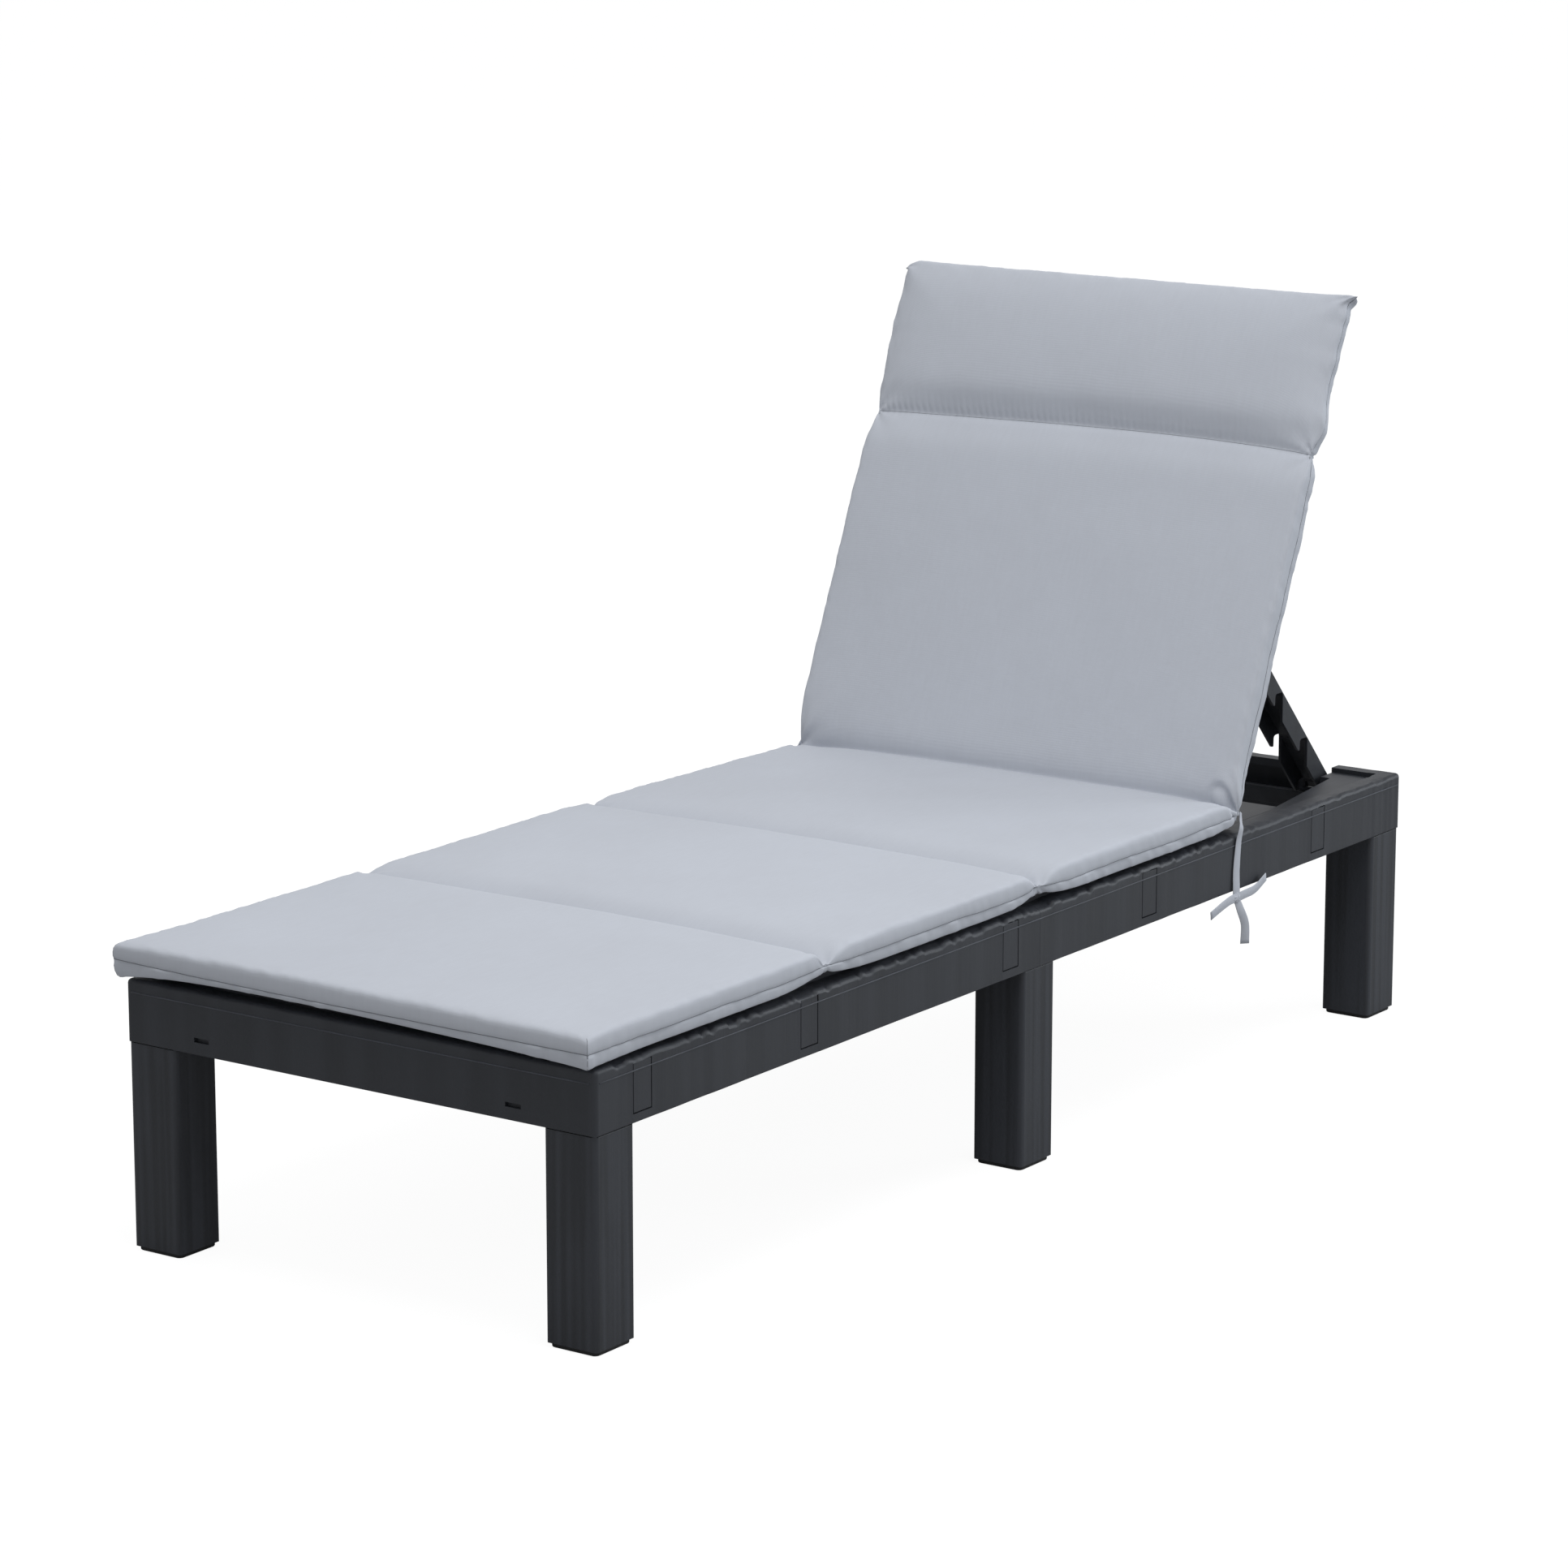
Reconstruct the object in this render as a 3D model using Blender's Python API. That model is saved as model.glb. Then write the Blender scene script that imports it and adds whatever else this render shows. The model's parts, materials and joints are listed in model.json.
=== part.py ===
"""Sun lounger: a moulded frame on six legs, a slatted seat, a propped backrest and a sewn cushion.

Metres, +Z up. X runs across, the foot end is at -Y and the head end at +Y. The origin is on the
floor, midway along the lounger's reach.
"""

import math

import bmesh
import bpy
from mathutils import Vector

# Frame: two mouldings that meet at mid length
FRAME_LENGTH = 1.620
FRAME_WIDTH = 0.616
FRAME_TOP = 0.2975
SKIRT_HEIGHT = 0.068
SKIRT_WALL = 0.006
FRAME_TOP_RADIUS = 0.005
BAND_WIDTH = 0.022
LEDGE_DROP = 0.006
LEDGE_THICKNESS = 0.004
WELL_SIDE_MARGIN = 0.068
WELL_HEAD_MARGIN = 0.053
TROUGH_SIDE_MARGIN = 0.0815
SHELF_DROP = 0.013
SHELF_THICKNESS = 0.004
SHELF_SIDE_MARGIN = 0.032
SHELF_WIDE_SHARE = 0.14
LIP_THICKNESS = 0.004
LIP_DEPTH = 0.042
FOOT_SLOT_LENGTH = 0.020
FOOT_SLOT_HEIGHT = 0.005
FOOT_SLOT_DEPTH = 0.0045
FOOT_SLOT_SIDE_MARGIN = 0.103
FOOT_SLOT_RISE = 0.0135

# Latch plates, flush in the rails' outer faces, by distance from the foot end
LATCH_PLACES_SHARES = (0.0481, 0.2268, 0.4633, 0.6415, 0.8767)
LATCH_WIDTH = 0.031
LATCH_HEIGHT = 0.053
LATCH_DEPTH = 0.0030
LATCH_TOP_MARGIN = 0.0055

# Legs and foot caps
LEG_SIDE = 0.060
LEG_INSET = 0.0034
LEG_WALL = 0.0035
LEG_CORNER_RADIUS = 0.005
PLUG_SIDE = 0.050
PLUG_HEIGHT = 0.032
SOCKET_CLEARANCE = 0.0004
CAP_INSET = 0.0015
CAP_HEIGHT = 0.005
CAP_PLUG_HEIGHT = 0.012
CAP_RADIUS = 0.0015

# Slatted seat in two panels, on cross beams
DECK_PROUD = 0.0055
DECK_SIDE_MARGIN = 0.0015
DECK_HINGE_CLEARANCE = 0.0018
DECK_BORDER = 0.030
SLAT_PITCH = 0.062
SLAT_GAP = 0.009
DECK_SPINE = 0.040
BEAM_WIDTH = 0.040
BEAM_DEPTH = 0.024
BEAM_WALL = 0.004
BEAM_PLACES_SHARES = (0.16, 0.34, 0.60)

# Backrest hinge and its beam
HINGE_FROM_HEAD = 0.365
HINGE_HEIGHT = 0.285
BACK_ANGLE = math.radians(66.75)
HINGE_PIN_RADIUS = 0.004
PIN_HEAD_RADIUS = 0.0070
PIN_HEAD_LENGTH = 0.003
HINGE_LUG_RADIUS = 0.010
HINGE_LUG_WIDTH = 0.010
HINGE_LUG_MARGIN = 0.004
HINGE_BEAM_START = 0.012
HINGE_BEAM_LENGTH = 0.180
HINGE_BEAM_DROP = 0.019
HINGE_BEAM_DEPTH = 0.030

# Backrest panel, in the hinge's own frame: along the panel, and up from the hinge axis
PANEL_START = 0.004
PANEL_LENGTH = 0.636
PANEL_THICKNESS = 0.0105
PANEL_SKIN = 0.0040
PANEL_BORDER = 0.036
PANEL_CORNER_RADIUS = 0.012
FLANGE_START = 0.014
SIDE_RIB_MARGIN = 0.0825
SIDE_RIB_THICKNESS = 0.005
SIDE_RIB_DEPTH = 0.020
SIDE_RIB_START = 0.200
SIDE_RIB_END_MARGIN = 0.020
RIM_RELIEF_MARGIN = 0.006

# Prop: two notched channels joined by a cross bar
PROP_ANGLE = math.radians(47.3)
PIVOT_ALONG = 0.2589
PIVOT_UP = -0.006
ARM_SIDE_MARGIN = 0.086
ARM_WIDTH = 0.040
ARM_DEPTH = 0.0246
ARM_WALL = 0.0035
WEB_THICKNESS = 0.003
WEB_START = 0.024
NOTCH_COUNT = 3
NOTCH_PITCH = 0.090
LAST_NOTCH = 0.335
NOTCH_WIDTH = 0.018
NOTCH_HEIGHT = 0.0135
TOOTH_TIP = 0.0036
HOOK_WIDTH = 0.0095
NOTCH_CORNER_RADIUS = 0.004
PROP_PIN_RADIUS = 0.004
PROP_LUG_RADIUS = 0.009
PROP_LUG_WIDTH = 0.009
CROSS_BAR_RADIUS = 0.007
CROSS_BAR_PLACE = 0.048

# Head end: channels that the prop's arms hook over and fold through
CHANNEL_SIDE_CLEARANCE = 0.0025
CHANNEL_FLOOR_CLEARANCE = 0.0015
REST_BAR_FROM_HEAD = 0.0315
REST_BAR_WIDTH = 0.009
REST_BAR_HEIGHT = 0.020
REST_BAR_RADIUS = 0.003

# Cushion
CUSHION_SIDE_OVERHANG = 0.0032
CUSHION_THICKNESS = 0.030
CUSHION_OVERHANG = 0.0154
CUSHION_CROWN = 0.004
CUSHION_EDGE_RADIUS = 0.008
CUSHION_DRAW = 0.0035
CHANNEL_DEPTH = 0.011
CHANNEL_SPREAD = 0.020
CHANNEL_PULL = 0.005
SEAT_CHANNEL_SHARES = (0.3317, 0.664)
BACK_CHANNEL_SHARES = (0.692,)
BACK_CUSHION_LENGTH = 0.632
MITRE_GAP = 0.002
MITRE_REACH = 0.075
CUSHION_STATIONS = 34
CUSHION_TOP_POINTS = 9
CUSHION_BOTTOM_POINTS = 5

# Cushion ties
TAPE_WIDTH = 0.009
TAPE_THICKNESS = 0.0012
TIE_SETBACK = 0.014
TIE_START_DROP = 0.010
KNOT_DROP = 0.010
KNOT_WIDTH = 0.013
KNOT_THICKNESS = 0.007
KNOT_ROUNDING = 0.0023
TAIL_REACH = 0.067
TAIL_LENGTH = 0.057
TAILS_SHARES = (
    (TAIL_REACH, ((0, 0), (-0.5, -0.06), (-1, -0.01))),
    (TAIL_REACH, ((0, 0), (0.5, -0.02), (1, 0.10))),
    (TAIL_LENGTH, ((0, 0), (0.2, -0.5), (0.5, -1))),
)

# Clearances between pieces
FIT = 0.0003
RUNNING_FIT = 0.0003
OVERRUN = 0.010

# Steps of round forms, and the least fold that stays a crease on the cushion
ROUND_SIDES = 24
CORNER_SEGMENTS = 3
CREASE_ANGLE = math.radians(50)

HALF_WIDTH = FRAME_WIDTH / 2
WELL_HALF_WIDTH = HALF_WIDTH - WELL_SIDE_MARGIN
TROUGH_HALF_WIDTH = HALF_WIDTH - TROUGH_SIDE_MARGIN
SHELF_HALF_WIDTH = HALF_WIDTH - SHELF_SIDE_MARGIN
SIDE_RIB_INNER = HALF_WIDTH - SIDE_RIB_MARGIN
ARM_OUTER = HALF_WIDTH - ARM_SIDE_MARGIN
CUSHION_HALF_WIDTH = HALF_WIDTH + CUSHION_SIDE_OVERHANG
FRAME_BOTTOM = FRAME_TOP - SKIRT_HEIGHT
LEDGE_TOP = FRAME_TOP - LEDGE_DROP
LEDGE_BOTTOM = LEDGE_TOP - LEDGE_THICKNESS
DECK_TOP = FRAME_TOP + DECK_PROUD
BAND_INNER = HALF_WIDTH - BAND_WIDTH
PANEL_TOP = DECK_TOP - HINGE_HEIGHT
PANEL_BOTTOM = PANEL_TOP - PANEL_THICKNESS
PANEL_END = PANEL_START + PANEL_LENGTH
CUSHION_BOTTOM = DECK_TOP + FIT
PIN_HOLE_RADIUS = HINGE_PIN_RADIUS + RUNNING_FIT
PROP_HOLE_RADIUS = PROP_PIN_RADIUS + RUNNING_FIT


def turned(along, up, angle):
    """A point given along and up from an axis, after a turn by angle: its (y, z) offset."""
    return (
        along * math.cos(angle) - up * math.sin(angle),
        along * math.sin(angle) + up * math.cos(angle),
    )


REACH = CUSHION_OVERHANG + FRAME_LENGTH
FOOT_Y = CUSHION_OVERHANG - REACH / 2
HEAD_Y = FOOT_Y + FRAME_LENGTH
SEAM_Y = FOOT_Y + FRAME_LENGTH / 2
HINGE_Y = HEAD_Y - HINGE_FROM_HEAD
PIVOT_Z = HINGE_HEIGHT + turned(PIVOT_ALONG, PIVOT_UP, BACK_ANGLE)[1]
TOOTH_Z = PIVOT_Z + turned(LAST_NOTCH, -ARM_DEPTH / 2, -PROP_ANGLE)[1]
CHANNEL_FLOOR = TOOTH_Z - CHANNEL_FLOOR_CLEARANCE
WELL_HEAD_Y = HEAD_Y - WELL_HEAD_MARGIN
CUSHION_RISE = CUSHION_BOTTOM - HINGE_HEIGHT
MITRE = CUSHION_RISE * math.tan(BACK_ANGLE / 2) + MITRE_GAP
DECK_END_Y = HINGE_Y - math.hypot(PANEL_START, CUSHION_RISE) - DECK_HINGE_CLEARANCE


def clear_scene():
    for obj in list(bpy.data.objects):
        bpy.data.objects.remove(obj)


def surface(name, color, roughness, metallic=0.0):
    material = bpy.data.materials.new(name)
    material.use_nodes = True
    shader = material.node_tree.nodes["Principled BSDF"]
    shader.inputs["Base Color"].default_value = (*color, 1)
    shader.inputs["Roughness"].default_value = roughness
    shader.inputs["Metallic"].default_value = metallic
    material.diffuse_color = (*color, 1)
    return material


def place(name, mesh_data, material=None, parent=None):
    """Makes an object of a bmesh, and frees it."""
    bmesh.ops.recalc_face_normals(mesh_data, faces=mesh_data.faces)
    mesh = bpy.data.meshes.new(name)
    mesh_data.to_mesh(mesh)
    mesh_data.free()
    obj = bpy.data.objects.new(name, mesh)
    bpy.context.scene.collection.objects.link(obj)
    if material:
        mesh.materials.append(material)
    obj.parent = parent
    return obj


def box(low, high, radius=0.0, pick=None, segments=CORNER_SEGMENTS):
    """A bmesh box. Its edges for which pick is true, or all, are rounded to the radius."""
    bm = bmesh.new()
    bmesh.ops.create_cube(bm, size=1)
    for vert in bm.verts:
        vert.co = Vector(low[i] if vert.co[i] < 0 else high[i] for i in range(3))
    if radius:
        edges = [e for e in bm.edges if pick is None or pick(e)]
        bmesh.ops.bevel(bm, geom=edges, offset=radius, segments=segments, profile=0.5, affect="EDGES")
    return bm


def runs_along(edge, axis):
    run = edge.verts[0].co - edge.verts[1].co
    return run.length - abs(run[axis]) < FIT


def upright(edge):
    return runs_along(edge, 2)


def rod(start_x, end_x, y, z, radius, sides=ROUND_SIDES):
    """A bmesh cylinder along X."""
    circle = [(y + radius * math.cos(a), z + radius * math.sin(a)) for a in turns(sides)]
    return prism(circle, start_x, end_x)


def turns(count):
    return [math.tau * i / count for i in range(count)]


def prism(outline, start_x, end_x):
    """A bmesh solid: an outline in (y, z), extruded along X."""
    bm = bmesh.new()
    near = [bm.verts.new((start_x, y, z)) for y, z in outline]
    far = [bm.verts.new((end_x, y, z)) for y, z in outline]
    bm.faces.new(near)
    bm.faces.new(far[::-1])
    for i in range(len(outline)):
        j = (i + 1) % len(outline)
        bm.faces.new((near[i], far[i], far[j], near[j]))
    return bm


def combine(obj, operation, pieces):
    """Adds bmesh pieces to an object, or cuts them from it, through a hidden collection."""
    group = bpy.data.collections.new(f"{obj.name}_{operation.lower()}_{len(obj.modifiers)}")
    bpy.context.scene.collection.children.link(group)
    group.hide_render = True
    for number, piece in enumerate(pieces):
        helper = place(f"{group.name}_{number}", piece, None, obj.parent)
        bpy.context.scene.collection.objects.unlink(helper)
        group.objects.link(helper)
        helper.hide_render = True
        helper.display_type = "WIRE"
    modifier = obj.modifiers.new(group.name, "BOOLEAN")
    modifier.operation = operation
    modifier.operand_type = "COLLECTION"
    modifier.collection = group
    modifier.solver = "EXACT"


def both_sides(low, high):
    """The box given for the +X side, and its mirror image."""
    return [
        box(low, high),
        box((-high[0], low[1], low[2]), (-low[0], high[1], high[2])),
    ]


def leg_corners():
    """Name and low corner of each leg's footprint."""
    outer = HALF_WIDTH - LEG_INSET - LEG_SIDE
    rows = {
        "foot": FOOT_Y + LEG_INSET,
        "middle": SEAM_Y - LEG_SIDE / 2,
        "head": HEAD_Y - LEG_INSET - LEG_SIDE,
    }
    for row, y in rows.items():
        yield f"{row}_left", -outer - LEG_SIDE, y
        yield f"{row}_right", outer, y


def frame_half(name, start_y, end_y, outer_sign, material):
    """One half of the frame: skirt, top band, ledge and the lip round the open middle."""
    end_is_head = outer_sign > 0
    body = place(
        name,
        box(
            (-HALF_WIDTH, start_y, FRAME_BOTTOM),
            (HALF_WIDTH, end_y, FRAME_TOP),
            FRAME_TOP_RADIUS,
            lambda e: outside_edge(e, outer_sign, (end_y if end_is_head else start_y)),
        ),
        material,
    )
    outer_y = end_y if end_is_head else start_y
    inner_y = start_y if end_is_head else end_y
    well_edge = WELL_HEAD_Y if end_is_head else start_y + WELL_HEAD_MARGIN

    def span(near_outer, near_inner):
        """Y limits, given by a distance from the outer end and one past the open end."""
        a = outer_y - outer_sign * near_outer
        b = inner_y - outer_sign * near_inner
        return min(a, b), max(a, b)

    low, high = span(SKIRT_WALL, OVERRUN)
    cavity = box(
        (-HALF_WIDTH + SKIRT_WALL, low, FRAME_BOTTOM - OVERRUN),
        (HALF_WIDTH - SKIRT_WALL, high, LEDGE_BOTTOM),
    )
    low, high = span(BAND_WIDTH, OVERRUN)
    recess = box((-BAND_INNER, low, LEDGE_TOP), (BAND_INNER, high, FRAME_TOP + OVERRUN))
    low, high = sorted((well_edge, inner_y - outer_sign * OVERRUN))
    well = box(
        (-WELL_HALF_WIDTH, low, LEDGE_BOTTOM - OVERRUN),
        (WELL_HALF_WIDTH, high, LEDGE_TOP + OVERRUN),
    )
    combine(body, "DIFFERENCE", [cavity])
    combine(body, "DIFFERENCE", [recess])
    combine(body, "DIFFERENCE", [well])
    combine(body, "UNION", lips(well_edge, inner_y, end_is_head) + sockets(inner_y, outer_sign))
    return body


def outside_edge(edge, outer_sign, outer_y):
    """True for the top edges and the two upright corners that show on a half's outside."""
    mid = (edge.verts[0].co + edge.verts[1].co) / 2
    at_outer_end = abs(mid.y - outer_y) < FIT
    if upright(edge):
        return at_outer_end
    at_side = abs(abs(mid.x) - HALF_WIDTH) < FIT
    return mid.z > FRAME_TOP - FIT and (at_side or at_outer_end)


def lips(well_edge, inner_y, end_is_head):
    """The wall that hangs from the ledge round the well, as boxes that run into the ledge."""
    top = LEDGE_BOTTOM + LEDGE_THICKNESS / 2
    bottom = LEDGE_TOP - LIP_DEPTH
    low, high = sorted((well_edge, inner_y))
    pieces = both_sides(
        (WELL_HALF_WIDTH, low, bottom),
        (WELL_HALF_WIDTH + LIP_THICKNESS, high, top),
    )
    if end_is_head:
        return pieces
    pieces.append(
        box(
            (-WELL_HALF_WIDTH - LIP_THICKNESS, well_edge - LIP_THICKNESS, bottom),
            (WELL_HALF_WIDTH + LIP_THICKNESS, well_edge, top),
        )
    )
    return pieces


def sockets(inner_y, outer_sign):
    """Square sockets under the ledge for the legs' plugs, cut off at the seam."""
    pieces = []
    wall = (LEG_SIDE - PLUG_SIDE) / 2 - SOCKET_CLEARANCE
    for _, x, y in leg_corners():
        low_y = max(y, inner_y) if outer_sign > 0 else y
        high_y = y + LEG_SIDE if outer_sign > 0 else min(y + LEG_SIDE, inner_y)
        if high_y - low_y < wall:
            continue
        top = LEDGE_BOTTOM + LEDGE_THICKNESS / 2
        inner_x = x if x > 0 else x + LEG_SIDE - wall
        pieces.append(box((inner_x, low_y, FRAME_BOTTOM), (inner_x + wall, high_y, top)))
        for wall_y in (y, y + LEG_SIDE - wall):
            if low_y <= wall_y and wall_y + wall <= high_y:
                pieces.append(
                    box((x + wall / 2, wall_y, FRAME_BOTTOM), (x + LEG_SIDE - wall / 2, wall_y + wall, top))
                )
    return pieces


def latch_places():
    for share in LATCH_PLACES_SHARES:
        yield FOOT_Y + share * FRAME_LENGTH


def latch_box(y, side, grow=0.0):
    """The plate's box, or with grow its pocket."""
    depth = LATCH_DEPTH + grow
    face = side * HALF_WIDTH
    inner = face - side * depth
    outer = face + side * (OVERRUN if grow else 0)
    low_z = FRAME_TOP - LATCH_TOP_MARGIN - LATCH_HEIGHT - grow
    return box(
        (min(inner, outer), y - LATCH_WIDTH / 2 - grow, low_z),
        (max(inner, outer), y + LATCH_WIDTH / 2 + grow, FRAME_TOP - LATCH_TOP_MARGIN + grow),
    )


def build_frame(graphite):
    gap = FIT / 2
    foot = frame_half("foot_frame", FOOT_Y, SEAM_Y - gap, -1, graphite)
    head = frame_half("head_frame", SEAM_Y + gap, HEAD_Y, 1, graphite)
    foot_cuts, head_cuts = [], []
    for y in latch_places():
        cuts = foot_cuts if y < SEAM_Y else head_cuts
        cuts += [latch_box(y, side, FIT) for side in (-1, 1)]
    slot_low = FRAME_BOTTOM + FOOT_SLOT_RISE
    for side in (-1, 1):
        middle = side * (HALF_WIDTH - FOOT_SLOT_SIDE_MARGIN)
        foot_cuts.append(
            box(
                (middle - FOOT_SLOT_LENGTH / 2, FOOT_Y - OVERRUN, slot_low),
                (middle + FOOT_SLOT_LENGTH / 2, FOOT_Y + FOOT_SLOT_DEPTH, slot_low + FOOT_SLOT_HEIGHT),
            )
        )
    combine(foot, "DIFFERENCE", foot_cuts)
    cut_head_end(head)
    lower_ledge(head)
    for side in (-1, 1):
        head_cuts.append(
            rod(
                side * (WELL_HALF_WIDTH - FIT),
                side * (WELL_HALF_WIDTH + LIP_THICKNESS + FIT),
                HINGE_Y,
                HINGE_HEIGHT,
                PIN_HOLE_RADIUS,
            )
        )
    combine(head, "DIFFERENCE", head_cuts)


def cut_head_end(head):
    """The trough behind the well, its cheeks, and the two channels through the rim and skirt."""
    trough = box(
        (-TROUGH_HALF_WIDTH, WELL_HEAD_Y - OVERRUN, LEDGE_BOTTOM - OVERRUN),
        (TROUGH_HALF_WIDTH, HEAD_Y - BAND_WIDTH, LEDGE_TOP + OVERRUN),
    )
    combine(head, "DIFFERENCE", [trough])
    top = LEDGE_BOTTOM + LEDGE_THICKNESS / 2
    bottom = LEDGE_TOP - LIP_DEPTH
    cheeks = both_sides(
        (TROUGH_HALF_WIDTH, WELL_HEAD_Y, bottom),
        (TROUGH_HALF_WIDTH + LIP_THICKNESS, HEAD_Y - SKIRT_WALL / 2, top),
    ) + both_sides(
        (TROUGH_HALF_WIDTH, WELL_HEAD_Y, bottom),
        (WELL_HALF_WIDTH + LIP_THICKNESS, WELL_HEAD_Y + LIP_THICKNESS, top),
    )
    combine(head, "UNION", cheeks)
    inner = ARM_OUTER - ARM_WIDTH - CHANNEL_SIDE_CLEARANCE
    outer = ARM_OUTER + CHANNEL_SIDE_CLEARANCE
    combine(
        head,
        "DIFFERENCE",
        both_sides(
            (inner, HEAD_Y - BAND_WIDTH - OVERRUN, CHANNEL_FLOOR),
            (outer, HEAD_Y + OVERRUN, FRAME_TOP + OVERRUN),
        ),
    )


def column(outline, low, high):
    """A bmesh solid: an outline in (x, y), extruded upward."""
    bm = bmesh.new()
    bottom = [bm.verts.new((x, y, low)) for x, y in outline]
    top = [bm.verts.new((x, y, high)) for x, y in outline]
    bm.faces.new(bottom[::-1])
    bm.faces.new(top)
    for i in range(len(outline)):
        j = (i + 1) % len(outline)
        bm.faces.new((bottom[i], bottom[j], top[j], top[i]))
    return bm


def lower_ledge(head):
    """Beside the hinge the ledge gives way to a shelf, which slants in to the well's head end."""
    start = HINGE_Y + HINGE_BEAM_START
    wide_y = start + SHELF_WIDE_SHARE * (WELL_HEAD_Y - start)
    top = LEDGE_TOP - SHELF_DROP
    wall = SHELF_THICKNESS
    inner = WELL_HALF_WIDTH
    shelves, cuts = [], []
    for side in (-1, 1):
        slant = [
            (side * inner, start),
            (side * SHELF_HALF_WIDTH, start),
            (side * SHELF_HALF_WIDTH, wide_y),
            (side * inner, WELL_HEAD_Y),
        ]
        outside = [
            (side * inner, start - wall),
            (side * (SHELF_HALF_WIDTH + wall), start - wall),
            (side * (SHELF_HALF_WIDTH + wall), wide_y),
            (side * (inner + wall), WELL_HEAD_Y + wall),
            (side * inner, WELL_HEAD_Y + wall),
        ]
        shelves.append(column(outside, top - wall, LEDGE_TOP - LEDGE_THICKNESS / 2))
        cuts.append(column(slant, top, LEDGE_TOP + OVERRUN))
    combine(head, "UNION", shelves)
    combine(head, "DIFFERENCE", cuts)


def build_latches(graphite):
    for number, y in enumerate(latch_places(), 1):
        for name, side in (("left", -1), ("right", 1)):
            place(f"latch_plate_{name}_{number}", latch_box(y, side), graphite)


def build_legs(graphite, rubber):
    for name, x, y in leg_corners():
        top = FRAME_BOTTOM - FIT
        leg = place(
            f"leg_{name}",
            box((x, y, CAP_HEIGHT), (x + LEG_SIDE, y + LEG_SIDE, top), LEG_CORNER_RADIUS, upright),
            graphite,
        )
        margin = (LEG_SIDE - PLUG_SIDE) / 2
        plug = box(
            (x + margin, y + margin, top - LEG_WALL / 2),
            (x + margin + PLUG_SIDE, y + margin + PLUG_SIDE, top + PLUG_HEIGHT),
            LEG_CORNER_RADIUS / 2,
            upright,
        )
        combine(leg, "UNION", [plug])
        hollow = box(
            (x + LEG_WALL, y + LEG_WALL, CAP_HEIGHT - OVERRUN),
            (x + LEG_SIDE - LEG_WALL, y + LEG_SIDE - LEG_WALL, top - LEG_WALL),
        )
        combine(leg, "DIFFERENCE", [hollow])
        cap = place(
            f"foot_cap_{name}",
            box(
                (x + CAP_INSET, y + CAP_INSET, 0),
                (x + LEG_SIDE - CAP_INSET, y + LEG_SIDE - CAP_INSET, CAP_HEIGHT - FIT),
                CAP_RADIUS,
                segments=2,
            ),
            rubber,
        )
        margin = LEG_WALL + FIT
        cap_plug = box(
            (x + margin, y + margin, CAP_HEIGHT / 2),
            (x + LEG_SIDE - margin, y + LEG_SIDE - margin, CAP_HEIGHT + CAP_PLUG_HEIGHT),
        )
        combine(cap, "UNION", [cap_plug])


def slots(low, high, border, gap, pitch, spine, depth_range):
    """Slots across a panel in two columns, on each side of a spine, as many as the pitch gives."""
    room = high[1] - low[1] - 2 * border
    count = max(1, round(room / pitch))
    step = room / count
    pieces = []
    for i in range(count + 1):
        middle = low[1] + border + i * step
        for x_low, x_high in ((low[0] + border, -spine / 2), (spine / 2, high[0] - border)):
            pieces.append(
                box((x_low, middle - gap / 2, depth_range[0]), (x_high, middle + gap / 2, depth_range[1]))
            )
    return pieces


def build_deck(graphite):
    half = BAND_INNER - DECK_SIDE_MARGIN
    bottom = LEDGE_TOP + FIT
    spans = {
        "foot_deck": (FOOT_Y + BAND_WIDTH + DECK_SIDE_MARGIN, SEAM_Y - FIT),
        "head_deck": (SEAM_Y + FIT, DECK_END_Y),
    }
    for name, (start, end) in spans.items():
        low, high = (-half, start, bottom), (half, end, DECK_TOP)
        deck = place(name, box(low, high), graphite)
        through = (bottom - OVERRUN, DECK_TOP + OVERRUN)
        combine(
            deck,
            "DIFFERENCE",
            slots(low, high, DECK_BORDER, SLAT_GAP, SLAT_PITCH, DECK_SPINE, through),
        )
    for number, share in enumerate(BEAM_PLACES_SHARES, 1):
        start = FOOT_Y + share * FRAME_LENGTH - BEAM_WIDTH / 2
        channel_beam(f"deck_beam_{number}", start, BEAM_WIDTH, LEDGE_TOP, BEAM_DEPTH, graphite)


def channel_beam(name, start_y, width, top, depth, material):
    """A cross beam between the lips, open below."""
    half = WELL_HALF_WIDTH - FIT
    beam = place(name, box((-half, start_y, top - depth), (half, start_y + width, top)), material)
    hollow = box(
        (-half + BEAM_WALL, start_y + BEAM_WALL, top - depth - OVERRUN),
        (half - BEAM_WALL, start_y + width - BEAM_WALL, top - BEAM_WALL),
    )
    combine(beam, "DIFFERENCE", [hollow])


def build_hinge(graphite, steel):
    channel_beam(
        "hinge_beam",
        HINGE_Y + HINGE_BEAM_START,
        HINGE_BEAM_LENGTH,
        FRAME_TOP - HINGE_BEAM_DROP,
        HINGE_BEAM_DEPTH,
        graphite,
    )
    head = WELL_HALF_WIDTH - HINGE_LUG_MARGIN - HINGE_LUG_WIDTH - FIT - PIN_HEAD_LENGTH
    tip = WELL_HALF_WIDTH + LIP_THICKNESS
    for name, side in (("left", -1), ("right", 1)):
        pin = place(
            f"hinge_pin_{name}",
            rod(side * head, side * (head + PIN_HEAD_LENGTH), HINGE_Y, HINGE_HEIGHT, PIN_HEAD_RADIUS),
            steel,
        )
        shaft = rod(
            side * (head + PIN_HEAD_LENGTH / 2), side * tip, HINGE_Y, HINGE_HEIGHT, HINGE_PIN_RADIUS
        )
        combine(pin, "UNION", [shaft])


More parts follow.
